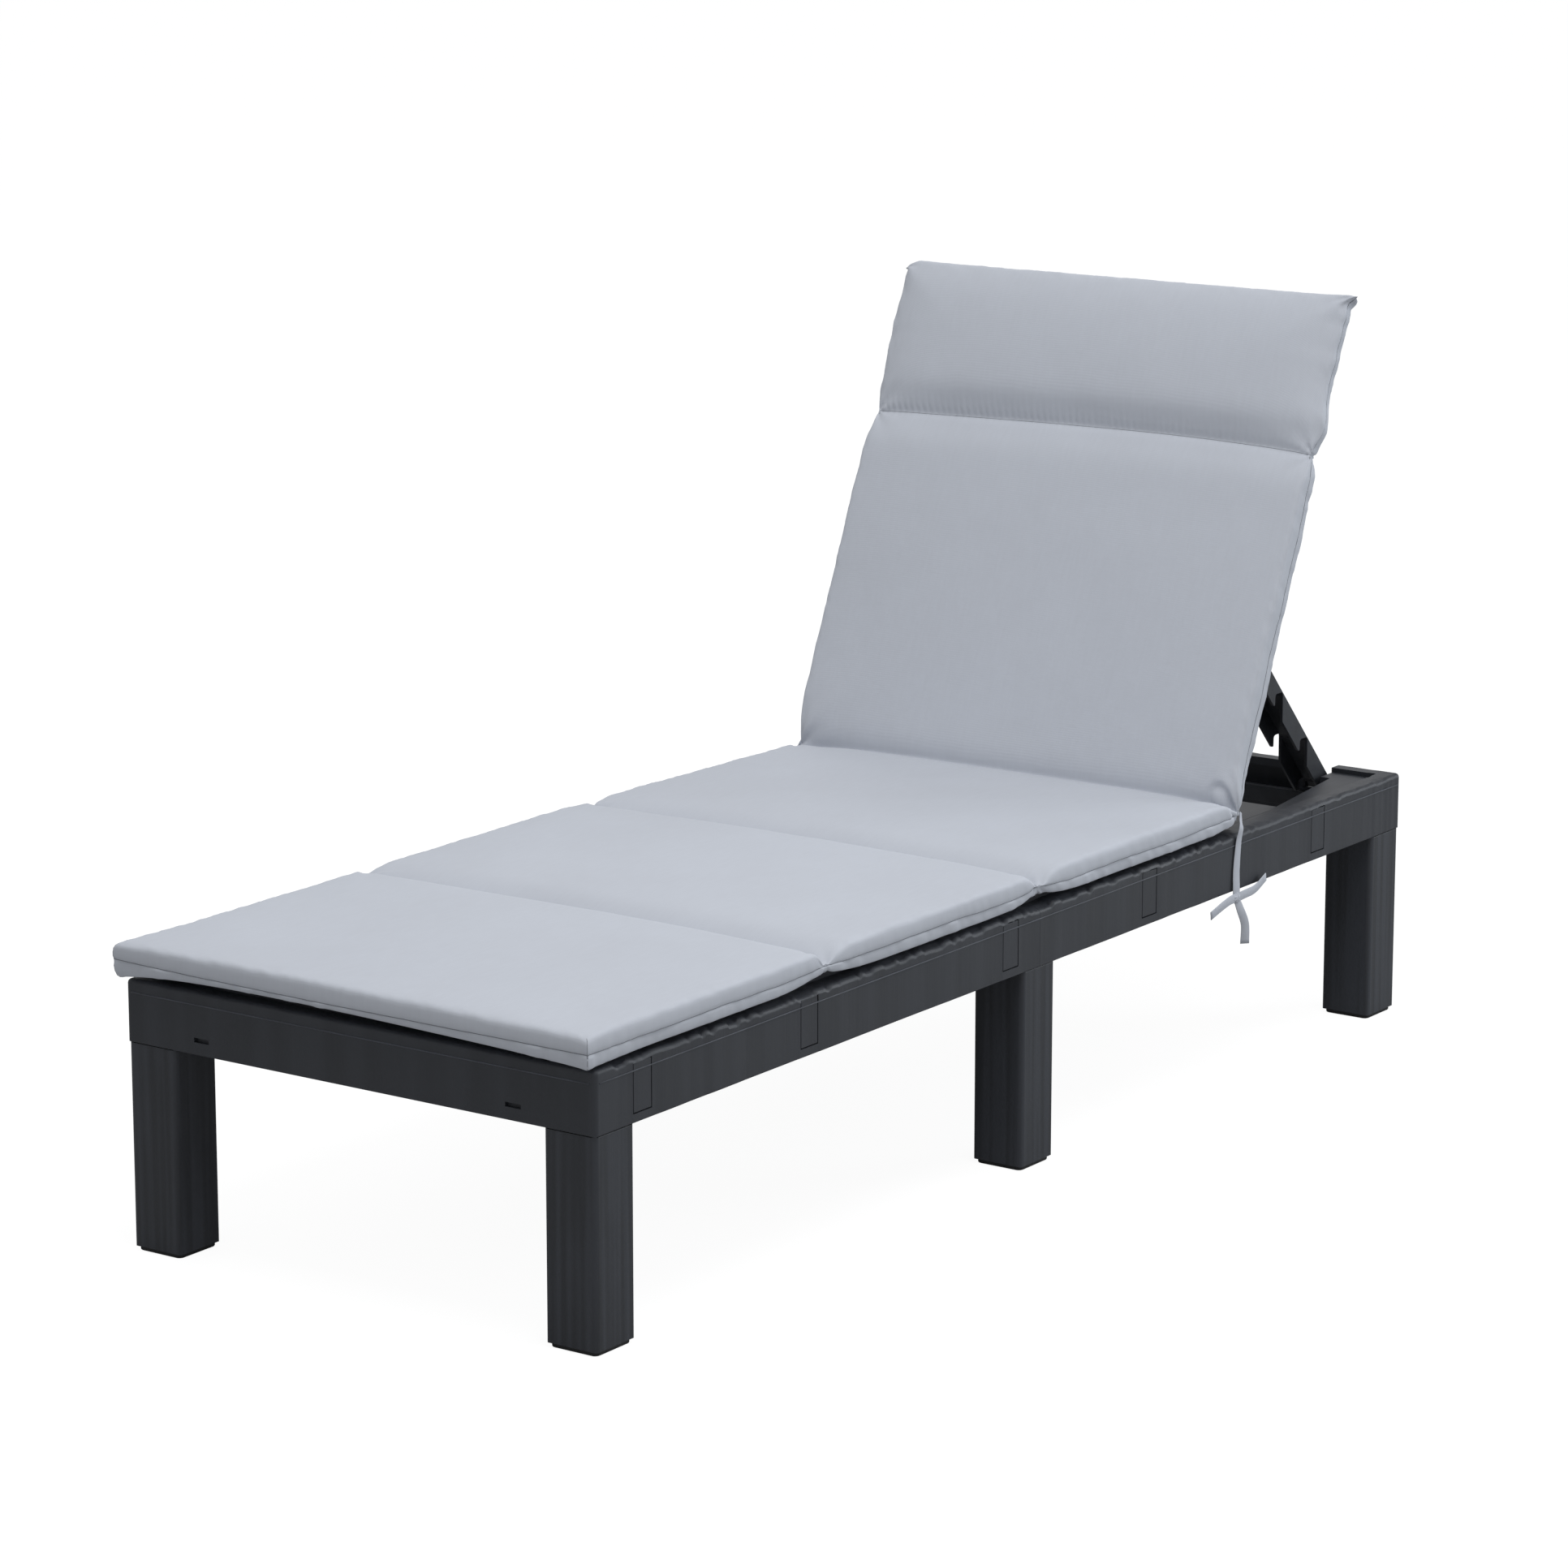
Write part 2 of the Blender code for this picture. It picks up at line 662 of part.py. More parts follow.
def build_rest_bar(graphite):
    """The rounded bar across the head end's trough, that the prop's last notch stands over."""
    half = TROUGH_HALF_WIDTH - FIT
    start = HEAD_Y - REST_BAR_FROM_HEAD
    place(
        "prop_rest_bar",
        box(
            (-half, start, CHANNEL_FLOOR - REST_BAR_HEIGHT),
            (half, start + REST_BAR_WIDTH, CHANNEL_FLOOR),
            REST_BAR_RADIUS,
            lambda e: runs_along(e, 0) and e.verts[0].co.z > CHANNEL_FLOOR - FIT,
        ),
        graphite,
    )


def build_backrest(graphite, hinge):
    half = BAND_INNER - DECK_SIDE_MARGIN
    low, high = (-half, PANEL_START, PANEL_BOTTOM), (half, PANEL_END, PANEL_TOP)
    panel = place(
        "backrest_panel",
        box(low, high, PANEL_CORNER_RADIUS, lambda e: upright(e) and e.verts[0].co.y > PANEL_END - FIT),
        graphite,
        hinge,
    )
    through = (PANEL_BOTTOM - OVERRUN, PANEL_TOP + OVERRUN)
    combine(
        panel,
        "DIFFERENCE",
        slots(low, high, PANEL_BORDER, SLAT_GAP, SLAT_PITCH, DECK_SPINE, through),
    )
    rim_low = HEAD_Y - BAND_WIDTH - RIM_RELIEF_MARGIN - HINGE_Y
    rim_high = HEAD_Y + RIM_RELIEF_MARGIN - HINGE_Y
    relief = box(
        (-half - OVERRUN, rim_low, PANEL_BOTTOM - OVERRUN),
        (half + OVERRUN, rim_high, PANEL_TOP - PANEL_SKIN),
    )
    corners = both_sides(
        (WELL_HALF_WIDTH - FIT, PANEL_START - OVERRUN, PANEL_BOTTOM - OVERRUN),
        (half + OVERRUN, FLANGE_START, PANEL_TOP + OVERRUN),
    )
    combine(panel, "DIFFERENCE", [relief] + corners)
    rib_low = PANEL_BOTTOM - SIDE_RIB_DEPTH
    rib_top = PANEL_BOTTOM + PANEL_SKIN
    rib_outer = SIDE_RIB_INNER + SIDE_RIB_THICKNESS
    well_end = WELL_HEAD_Y - HINGE_Y - RIM_RELIEF_MARGIN
    rib_end = PANEL_END - SIDE_RIB_END_MARGIN
    ribs = both_sides((SIDE_RIB_INNER, SIDE_RIB_START, rib_low), (rib_outer, well_end, rib_top))
    ribs += both_sides((SIDE_RIB_INNER, rim_high, rib_low), (rib_outer, rib_end, rib_top))
    combine(panel, "UNION", ribs)
    lug_outer = WELL_HALF_WIDTH - HINGE_LUG_MARGIN
    lugs, holes = [], []
    for side in (-1, 1):
        lugs.append(lug(side, lug_outer - HINGE_LUG_WIDTH, lug_outer, 0, 0, HINGE_LUG_RADIUS))
        holes.append(
            rod(side * (lug_outer - HINGE_LUG_WIDTH - FIT), side * (lug_outer + FIT), 0, 0, PIN_HOLE_RADIUS)
        )
        prop_mid = ARM_OUTER - ARM_WIDTH / 2
        start, end = prop_mid - PROP_LUG_WIDTH / 2, prop_mid + PROP_LUG_WIDTH / 2
        lugs.append(lug(side, start, end, PIVOT_ALONG, PIVOT_UP, PROP_LUG_RADIUS))
        holes.append(rod(side * (start - FIT), side * (end + FIT), PIVOT_ALONG, PIVOT_UP, PROP_HOLE_RADIUS))
    combine(panel, "UNION", lugs)
    combine(panel, "DIFFERENCE", holes)


def lug(side, start, end, along, up, radius):
    """A round-ended ear that hangs from the panel to the axis at (along, up)."""
    top = PANEL_BOTTOM + PANEL_SKIN
    half_turn = [math.pi + math.pi * i / (ROUND_SIDES // 2) for i in range(ROUND_SIDES // 2 + 1)]
    outline = [(along + radius * math.cos(a), up + radius * math.sin(a)) for a in half_turn]
    first = max(outline[0][0], PANEL_START)
    outline += [(along + radius, top), (first, top)]
    if first > outline[0][0]:
        outline += [(first, PANEL_BOTTOM - radius / 2)]
    return prism(outline, side * start, side * end)


def arm_outline():
    """The notched side plate, in (along, toward the web) from its pivot."""
    half = ARM_DEPTH / 2
    pivot_end = [math.pi / 2 + math.pi * i / (ROUND_SIDES // 2) for i in range(ROUND_SIDES // 2 + 1)]
    outline = [(half * math.cos(a), half * math.sin(a)) for a in pivot_end]
    right, down = math.cos(PROP_ANGLE), math.sin(PROP_ANGLE)
    far = TOOTH_TIP + NOTCH_WIDTH
    for number in range(NOTCH_COUNT):
        tip = LAST_NOTCH - (NOTCH_COUNT - 1 - number) * NOTCH_PITCH
        outline += [level(tip, across, rise) for across, rise in slot_points(far)]
        if number < NOTCH_COUNT - 1:
            outline.append(level(tip, far, -far * down / right))
    hook = far + HOOK_WIDTH
    back_rise = (ARM_DEPTH - hook * down) / right
    return outline + [level(LAST_NOTCH, x, z) for x, z in ((far, 0), (hook, 0), (hook, back_rise))]


def level(tip, across, rise):
    """A point level across and up from a tooth's tip, as the prop stands at rest, in the arm's frame."""
    right, down = math.cos(PROP_ANGLE), math.sin(PROP_ANGLE)
    return tip + across * right - rise * down, -ARM_DEPTH / 2 + across * down + rise * right


def slot_points(far):
    """A tooth's tip and the round-topped slot beyond it, as (across, rise)."""
    corner = NOTCH_CORNER_RADIUS
    low = NOTCH_HEIGHT - corner
    angles = [math.pi / 2 * step / CORNER_SEGMENTS for step in range(CORNER_SEGMENTS + 1)]
    near_arc = [(TOOTH_TIP + corner * (1 - math.cos(a)), low + corner * math.sin(a)) for a in angles]
    far_arc = [(far - corner * (1 - math.sin(a)), low + corner * math.cos(a)) for a in angles]
    return [(0, 0), (TOOTH_TIP, 0)] + near_arc + far_arc


def build_prop(graphite, steel, pivot):
    half = ARM_DEPTH / 2
    tail = LAST_NOTCH + ARM_DEPTH + NOTCH_WIDTH
    for name, side in (("left", -1), ("right", 1)):
        outer, inner = ARM_OUTER, ARM_OUTER - ARM_WIDTH
        arm = place(f"prop_arm_{name}", prism(arm_outline(), side * inner, side * outer), graphite, pivot)
        channel = prism(
            [
                (-half - OVERRUN, -half - OVERRUN),
                (tail, -half - OVERRUN),
                (tail, half - WEB_THICKNESS),
                (WEB_START, half - WEB_THICKNESS),
                (WEB_START, half + OVERRUN),
                (-half - OVERRUN, half + OVERRUN),
            ],
            side * (inner + ARM_WALL),
            side * (outer - ARM_WALL),
        )
        hole = rod(side * (inner - FIT), side * (outer + FIT), 0, 0, PROP_HOLE_RADIUS)
        combine(arm, "DIFFERENCE", [channel])
        combine(arm, "DIFFERENCE", [hole])
        place(f"prop_pin_{name}", rod(side * inner, side * outer, 0, 0, PROP_PIN_RADIUS), steel, pivot)
    reach = ARM_OUTER - ARM_WIDTH - FIT
    place("prop_cross_bar", rod(-reach, reach, CROSS_BAR_PLACE, 0, CROSS_BAR_RADIUS), graphite, pivot)


def pinch(place_along, seams):
    """How strongly a sewn channel draws the cushion in at a place: 0 to 1."""
    return sum(math.exp(-(((place_along - seam) / CHANNEL_SPREAD) ** 2)) for seam in seams)


def cushion(name, start, length, seams, mitred_end, fabric, parent, base):
    """A crowned pad from start to start + length, with channels at the seams.

    Its mitred end, 0 for the near one and 1 for the far one, leans away from the bend.
    """
    edge_share = CUSHION_EDGE_RADIUS / CORNER_SEGMENTS / length
    stations = [i / CUSHION_STATIONS for i in range(CUSHION_STATIONS + 1)]
    stations = sorted(stations + [edge_share, 1 - edge_share] + list(seams))
    rings = []
    for share in stations:
        along = share * length
        end = min(along, length - along)
        rounding = min(1.0, end / CUSHION_EDGE_RADIUS)
        drop = CUSHION_EDGE_RADIUS * (1 - math.sqrt(1 - (1 - rounding) ** 2)) if rounding < 1 else 0.0
        pull = pinch(along, [seam * length for seam in seams])
        bow = CUSHION_DRAW * waist(share, seams)
        half = CUSHION_HALF_WIDTH - bow - CHANNEL_PULL * pull - drop / 2
        height = CUSHION_THICKNESS - CHANNEL_DEPTH * pull - drop
        crown = CUSHION_CROWN * (1 - pull) * waist(share, seams)
        to_bend = abs(along - mitred_end * length)
        lean = (1 - 2 * mitred_end) * max(0.0, 1 - to_bend / MITRE_REACH) * math.tan(BACK_ANGLE / 2)
        rings.append(ring(start + along, half, height, crown, drop / 2, lean, base))
    bm = bmesh.new()
    loops = [[bm.verts.new(point) for point in points] for points in rings]
    bm.faces.new(loops[0][::-1])
    bm.faces.new(loops[-1])
    for a, b in zip(loops, loops[1:]):
        for i in range(len(a)):
            j = (i + 1) % len(a)
            bm.faces.new((a[i], a[j], b[j], b[i]))
    obj = place(name, bm, fabric, parent)
    obj.data.shade_smooth()
    obj.data.set_sharp_from_angle(angle=CREASE_ANGLE)
    return obj


def waist(share, seams):
    """0 at the pad's ends and seams, 1 midway between them."""
    marks = [0, *seams, 1]
    for a, b in zip(marks, marks[1:]):
        if a <= share <= b:
            return math.sin(math.pi * (share - a) / (b - a))
    return 0.0


def ring(along, half, height, crown, bottom_lift, lean, base):
    """One closed section across the pad: flat below, rounded sides, crowned above."""
    radius = min(CUSHION_EDGE_RADIUS, (height - bottom_lift) / 2 - FIT)
    low, high = base + bottom_lift, base + height
    edge = high - crown
    top = []
    for i in range(CUSHION_TOP_POINTS):
        across = 2 * i / (CUSHION_TOP_POINTS - 1) - 1
        top.append((across * (half - radius), edge + crown * (1 - across**2)))
    side = []
    for step in range(1, CORNER_SEGMENTS + 1):
        angle = math.pi / 2 * step / CORNER_SEGMENTS
        side.append((half - radius * (1 - math.sin(angle)), edge - radius * (1 - math.cos(angle))))
    corner = radius * (1 - math.sqrt(0.5))
    side += [(half, low + radius), (half - corner, low + corner)]
    bottom = []
    for i in range(CUSHION_BOTTOM_POINTS):
        across = 1 - 2 * i / (CUSHION_BOTTOM_POINTS - 1)
        bottom.append((across * (half - radius), low))
    points = top + side + bottom + [(-x, z) for x, z in reversed(side)]
    return [(x, along + (z - base) * lean, z) for x, z in points]


def tape(points, normal):
    """A flat strip along (x, y, z) points, its width square to the run and to the normal."""
    bm = bmesh.new()
    normal = Vector(normal)
    path = [Vector(p) for p in points]
    loops = []
    for i, point in enumerate(path):
        run = (path[min(i + 1, len(path) - 1)] - path[max(i - 1, 0)]).normalized()
        across = run.cross(normal).normalized() * TAPE_WIDTH / 2
        face = across.cross(run).normalized() * TAPE_THICKNESS / 2
        corners = (across + face, across - face, -across - face, -across + face)
        loops.append([bm.verts.new(point + corner) for corner in corners])
    bm.faces.new(loops[0][::-1])
    bm.faces.new(loops[-1])
    for a, b in zip(loops, loops[1:]):
        for i in range(4):
            j = (i + 1) % 4
            bm.faces.new((a[i], a[j], b[j], b[i]))
    return bm


def build_ties(fabric):
    """A tape from the cushion's bend over the rail to a knot below it, with its tails."""
    y = HINGE_Y - MITRE - TIE_SETBACK
    rail = HALF_WIDTH + FIT + TAPE_THICKNESS / 2
    side_face = CUSHION_HALF_WIDTH + FIT + TAPE_THICKNESS / 2
    start_z = CUSHION_BOTTOM + CUSHION_THICKNESS - TIE_START_DROP
    knot_z = FRAME_BOTTOM - KNOT_DROP
    knot_y = y + TAPE_WIDTH / 2
    for name, side in (("left", -1), ("right", 1)):
        drop = [
            (side * side_face, y, start_z),
            (side * side_face, y, CUSHION_BOTTOM + CUSHION_EDGE_RADIUS),
            (side * (rail + side_face) / 2, y, FRAME_TOP + FIT),
            (side * rail, y, FRAME_TOP - FRAME_TOP_RADIUS),
            (side * rail, (y + knot_y) / 2, (FRAME_TOP + FRAME_BOTTOM) / 2),
            (side * rail, knot_y, FRAME_BOTTOM),
            (side * rail, knot_y, knot_z),
        ]
        tie = place(f"cushion_tie_{name}", tape(drop, (side, 0, 0)), fabric)
        near, far = sorted((side * (rail - TAPE_THICKNESS / 2), side * (rail + KNOT_THICKNESS)))
        knot = box(
            (near, knot_y - KNOT_WIDTH / 2, knot_z - KNOT_WIDTH / 2),
            (far, knot_y + KNOT_WIDTH / 2, knot_z + KNOT_WIDTH / 2),
            KNOT_ROUNDING,
            segments=2,
        )
        middle = side * (rail + KNOT_THICKNESS / 2)
        tails = [
            [(middle, knot_y + y_share * reach, knot_z + z_share * reach) for y_share, z_share in shares]
            for reach, shares in TAILS_SHARES
        ]
        combine(tie, "UNION", [knot])
        for points in tails:
            combine(tie, "UNION", [tape(points, (side, 0, 0))])


def build_cushions(fabric, hinge):
    start = FOOT_Y - CUSHION_OVERHANG
    length = HINGE_Y - MITRE - start
    cushion("seat_cushion", start, length, SEAT_CHANNEL_SHARES, 1, fabric, None, CUSHION_BOTTOM)
    cushion("back_cushion", MITRE, BACK_CUSHION_LENGTH, BACK_CHANNEL_SHARES, 0, fabric, hinge, CUSHION_RISE)


def axis_empty(name, location, angle, parent=None):
    empty = bpy.data.objects.new(name, None)
    bpy.context.scene.collection.objects.link(empty)
    empty.location = location
    empty.rotation_euler.x = angle
    empty.parent = parent
    return empty


def main():
    clear_scene()
    graphite = surface("graphite_plastic", (0.055, 0.062, 0.070), 0.55)
    rubber = surface("foot_plastic", (0.020, 0.021, 0.023), 0.70)
    steel = surface("pin_steel", (0.45, 0.45, 0.46), 0.35, 1.0)
    fabric = surface("grey_fabric", (0.42, 0.45, 0.50), 0.92)
    hinge = axis_empty("hinge_axis", (0, HINGE_Y, HINGE_HEIGHT), BACK_ANGLE)
    pivot = axis_empty("prop_axis", (0, PIVOT_ALONG, PIVOT_UP), -(BACK_ANGLE + PROP_ANGLE), hinge)
    build_frame(graphite)
    build_latches(graphite)
    build_legs(graphite, rubber)
    build_deck(graphite)
    build_hinge(graphite, steel)
    build_rest_bar(graphite)
    build_backrest(graphite, hinge)
    build_prop(graphite, steel, pivot)
    build_cushions(fabric, hinge)
    build_ties(fabric)


main()
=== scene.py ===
import json
import math

import bmesh
import bpy
import numpy as np
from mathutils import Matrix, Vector, noise


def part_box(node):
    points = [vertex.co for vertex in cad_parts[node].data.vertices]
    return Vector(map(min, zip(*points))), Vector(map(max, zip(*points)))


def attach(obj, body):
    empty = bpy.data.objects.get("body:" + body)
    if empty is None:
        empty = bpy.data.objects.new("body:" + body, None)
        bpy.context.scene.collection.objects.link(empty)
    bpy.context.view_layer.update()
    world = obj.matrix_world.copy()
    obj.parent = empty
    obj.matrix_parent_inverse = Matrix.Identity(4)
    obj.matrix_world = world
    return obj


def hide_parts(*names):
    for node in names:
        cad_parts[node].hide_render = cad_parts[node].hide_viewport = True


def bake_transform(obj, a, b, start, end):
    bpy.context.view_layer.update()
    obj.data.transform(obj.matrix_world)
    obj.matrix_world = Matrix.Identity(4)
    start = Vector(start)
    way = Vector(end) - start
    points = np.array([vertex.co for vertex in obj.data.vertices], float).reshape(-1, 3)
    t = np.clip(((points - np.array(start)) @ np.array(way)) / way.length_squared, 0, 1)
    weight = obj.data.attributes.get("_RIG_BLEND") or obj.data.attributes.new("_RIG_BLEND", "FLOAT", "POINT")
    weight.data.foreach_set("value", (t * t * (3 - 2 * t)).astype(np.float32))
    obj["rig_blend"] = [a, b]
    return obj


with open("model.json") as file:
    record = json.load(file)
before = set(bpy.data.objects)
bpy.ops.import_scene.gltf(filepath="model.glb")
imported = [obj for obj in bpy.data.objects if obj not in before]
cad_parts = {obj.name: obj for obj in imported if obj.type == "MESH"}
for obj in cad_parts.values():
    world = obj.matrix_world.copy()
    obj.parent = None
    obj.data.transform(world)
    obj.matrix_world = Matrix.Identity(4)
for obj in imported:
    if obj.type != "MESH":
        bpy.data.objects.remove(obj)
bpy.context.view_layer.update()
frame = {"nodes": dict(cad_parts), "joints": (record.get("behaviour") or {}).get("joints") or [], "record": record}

MM = 0.001

# The photograph's camera
CAMERA_PLACE = (3.4749, -4.9533, 1.7896)
CAMERA_YAW = math.radians(35.300)
CAMERA_PITCH = math.radians(12.970)
IMAGE_PIXELS = 1932
FOCAL_PIXELS = 6792
SENSOR = 36
FAR_CLIP = 100

# Places and names worked out from the frame
JOINTS = {joint["name"]: joint for joint in frame["joints"]}
HINGE_Y, HINGE_Z = JOINTS["backrest_hinge"]["pos_m"][1:]
BACK_ANGLE = -math.radians(JOINTS["backrest_hinge"]["range_deg"][0])
SEAT_LOW, SEAT_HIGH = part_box("seat_cushion")
FRAME_LOW, FRAME_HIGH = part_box("foot_frame")
HEAD_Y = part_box("head_frame")[1].y
CUSHION_BASE = SEAT_LOW.z
CUSHION_RISE = CUSHION_BASE - HINGE_Z
HALF_WIDTH = SEAT_HIGH.x
BODY_OF = {node: body for body, nodes in frame["record"]["behaviour"]["bodies"].items() for node in nodes}

# Colours
FABRIC, FABRIC_DARK, FABRIC_LIGHT = (0.50, 0.526, 0.582), (0.485, 0.509, 0.563), (0.515, 0.543, 0.601)
THREAD, THREAD_DARK, THREAD_LIGHT = (0.20, 0.21, 0.235), (0.16, 0.17, 0.19), (0.24, 0.255, 0.285)
GRAPHITE = (0.0272, 0.0303, 0.0378)
RUBBER = (0.013, 0.0135, 0.0145)
STEEL = (0.50, 0.50, 0.51)
FLOOR = (0.42, 0.42, 0.42)
SKY = (0.98, 0.99, 1.0)
WHITE = (1, 1, 1)
COOL = (0.88, 0.94, 1.0)

# Cushion
CUSHION_THICKNESS = 34 * MM
BACK_LENGTH = 634 * MM
BACK_STRETCH = 13 * MM
BACK_SKEW = 2.5 * MM
SEAM_BOW = 6.5 * MM
CHANNEL_BOW = 14 * MM
SEAM_HEIGHT = 14.5 * MM
SEAT_CHANNELS = (417 * MM, 834 * MM)
HEAD_SEAM = 437 * MM
SWELL_CAP = 5 * MM
SIMULATED_FRAMES = 20
PINCH_POWER = 1.5
GATHER_SPACING = 9.2 * MM
BEND_REACH = 45 * MM
THREAD_SIDES = 6
POINT_VALUES = ("along", "across", "wall", "below")
CLOTH = {
    "quality": 5, "mass": 0.25, "tension_stiffness": 18, "compression_stiffness": 18, "shear_stiffness": 8,
    "bending_stiffness": 0.5, "use_pressure": True, "uniform_pressure_force": 3.0, "shrink_min": -0.008,
    "vertex_group_mass": "sewn",
}

# The pad's grid, and the rings of its box edge: insets in millimetres with their shares of the height
CELL = 8.5 * MM
FIRST_CELL = 18 * MM
SEAM_MARKS = (-15, -8, -3.5, 0, 3.5, 8, 15)
TOP_RINGS = (
    (1.3, 0), (0.35, 0.10), (0, 0.26), (0, 0.54), (0.5, 0.79), (1.8, 0.93), (4.4, 0.985), (8, 1), (12.5, 1),
)
LOW_RINGS = (
    (1.3, 0), (1.15, 0.15), (1.2, 0.40), (1.8, 0.70), (3.0, 0.93), (5.0, 1.04), (8, 1.04), (11, 1), (14, 1),
)

# How far each side of the pad is drawn in, pushed out above the head's seam, and moved, in millimetres
LEFT = {"seed": 0, "channel": 2.0, "bend": -5.5, "head": 2.0, "bulge": 0, "on_back": 4.5, "on_head": 3.0}
RIGHT = {"seed": 5, "channel": 1.5, "bend": 1.5, "head": 6.0, "bulge": 6, "on_back": -7.0, "on_head": -2.0}

# In millimetres: reach before, reach beyond and size of each channel's gathers; size of the folds at each
# drawn-in place; size, place and reach of the rings and lines at the right tie
GATHERS = ((4, 9, 0.55), (4, 10, 0.75), (4, 10, 0.8))
SEAM_FOLDS = (1.5, 1.5, 2.4, 1.6)
BULGE_RINGS = ((3.0, 0, 7), (-2.2, 13.5, 3.2), (0.9, 20, 4))
CRUSHED_LINES = ((1.8, -6, 3), (-2.4, -13, 2.6), (0.8, -20, 4))

# Ties: the tape's section in shares of its half width and thickness, and each tail's path and twist
# A path's points are millimetres outward, toward the head and up
TAPE_WIDTH, TAPE_THICKNESS = 10.8 * MM, 1.2 * MM
TAPE_SECTION = (
    (-1, -0.4), (-0.9, -1), (0, -0.7), (0.9, -1), (1, -0.4),
    (1, 0.4), (0.9, 1), (0, 0.7), (-0.9, 1), (-1, 0.4),
)
TAILS = {
    "foot": (((0, 0, 0), (2, -16, 1), (3, -36, -2), (2, -60, -9)), 0.1),
    "head": (((0, 0, 0), (2, 17, 2), (3, 38, 4), (2, 64, 13)), -0.1),
    "hanging": (((0, 0, 0), (2, 6, -14), (3, 16, -34), (2, 18, -58)), -0.75),
}
PATH_STEPS = 5
KNOT_SIZE = (3.6, 6.2, 6.6)

# Frame
WELD = 1e-6
HAIR, TOUCH = 0.2 * MM, 0.5 * MM
LONG_EDGE, EDGE_ANGLE = 5 * MM, math.radians(40)
SHARP_ANGLE = math.radians(50)
BAND_WIDTH, BAND_DEPTH, BAND_EDGE = 22.5 * MM, 6 * MM, 5.5 * MM
RIGHT_SEED, LEFT_SEED, END_SEED = 8.8, 18.8, 28.8
LATCH_CLEAR, LATCH_GAP, LATCHES_A_SIDE = 3 * MM, 0.9 * MM, 5
LEG_GROWTH, LEG_TOP_GAP, LEG_SLICE = 2.3 * MM, 1.4 * MM, 1.5 * MM
FLUTE_DEPTH, FLUTE_PITCH = 0.9 * MM, 6 * MM
FLUTES_FROM, FLUTES_TO = 6 * MM, 58.6 * MM
CAP_GROWTH, CAP_RADIUS, CAP_STEPS = 1.2 * MM, 7 * MM, 8
CAP_LEVELS = ((0, 1.6), (0.5, 0.5), (1.5, 0), (5, 0), (5, 9))
CAP_CORNERS = ((1, 1), (-1, 1), (-1, -1), (1, -1))
LINE_HALF, LINE_OUT, LINE_ROUND = 0.8 * MM, 0.6 * MM, 5
LINE_DROP, LINE_CORNER_GAP, LINE_CHANNEL_GAP = 14 * MM, 7 * MM, 3.5 * MM


# Curves

def smooth(t):
    """Rises from 0 to 1 with soft ends as t does."""
    t = np.clip(t, 0, 1)
    return t * t * (3 - 2 * t)


def bell(away, reach, power=2.0):
    """1 at a place, falling off on both sides."""
    return np.exp(-((np.abs(away) / reach) ** power))


def fade(away, reach):
    """1 at a place, falling off with the distance from it."""
    return np.exp(-away / reach)


def double_bell(away, broad, fine, power=2.0, share=0.62):
    """A broad bell with a finer one at its middle."""
    return share * bell(away, broad) + (1 - share) * bell(away, fine, power)


# Materials

def set_inputs(shader, values):
    for key, value in values.items():
        shader.inputs[key].default_value = value


def material(name, color, roughness, values=None):
    """A new node material, its shader and its tree."""
    made = bpy.data.materials.new(name)
    made.use_nodes = True
    shader = made.node_tree.nodes["Principled BSDF"]
    set_inputs(shader, {"Base Color": (*color, 1), "Roughness": roughness, **(values or {})})
    return made, shader, made.node_tree


def node(tree, kind, values=None, **settings):
    made = tree.nodes.new("ShaderNode" + kind)
    for key, value in settings.items():
        setattr(made, key, value)
    set_inputs(made, values or {})
    return made


def coordinates(tree, scale=(1, 1, 1)):
    """Object coordinates, stretched by a scale."""
    source = node(tree, "TexCoord")
    mapping = node(tree, "Mapping", {"Scale": scale})
    tree.links.new(source.outputs["Object"], mapping.inputs["Vector"])
    return mapping.outputs["Vector"]


def noise_texture(tree, scale, detail, stretch=(1, 1, 1), roughness=0.5):
    texture = node(tree, "TexNoise", {"Scale": scale, "Detail": detail, "Roughness": roughness})
    tree.links.new(coordinates(tree, stretch), texture.inputs["Vector"])
    return texture.outputs["Fac"]


def combine(tree, operation, a, b):
    """The sum or product of two sockets or numbers."""
    made = node(tree, "Math", operation=operation)
    for socket, value in zip(made.inputs, (a, b)):
        if isinstance(value, (int, float)):
            socket.default_value = value
        else:
            tree.links.new(value, socket)
    return made.outputs[0]


def blended(tree, a, share_a, b, share_b):
    """The sum of two factors, each times its share."""
    return combine(tree, "ADD", combine(tree, "MULTIPLY", a, share_a), combine(tree, "MULTIPLY", b, share_b))


def bump(tree, shader, height, strength, distance, below=None):
    made = node(tree, "Bump", {"Strength": strength, "Distance": distance})
    tree.links.new(height, made.inputs["Height"])
    if below:
        tree.links.new(below, made.inputs["Normal"])
    tree.links.new(made.outputs["Normal"], shader.inputs["Normal"])
    return made.outputs["Normal"]


def tint(tree, shader, factor, dark, light, low=0.3, high=0.7):
    """Base colour that varies with a factor between two colours."""
    ramp = node(tree, "ValToRGB")
    for element, place, color in zip(ramp.color_ramp.elements, (low, high), (dark, light)):
        element.position = place
        element.color = (*color, 1)
    tree.links.new(factor, ramp.inputs["Fac"])
    tree.links.new(ramp.outputs["Color"], shader.inputs["Base Color"])


def rough(tree, shader, factor, low, high):
    """Roughness that varies with a factor."""
    ranged = node(tree, "MapRange", {"To Min": low, "To Max": high})
    tree.links.new(factor, ranged.inputs["Value"])
    tree.links.new(ranged.outputs["Result"], shader.inputs["Roughness"])


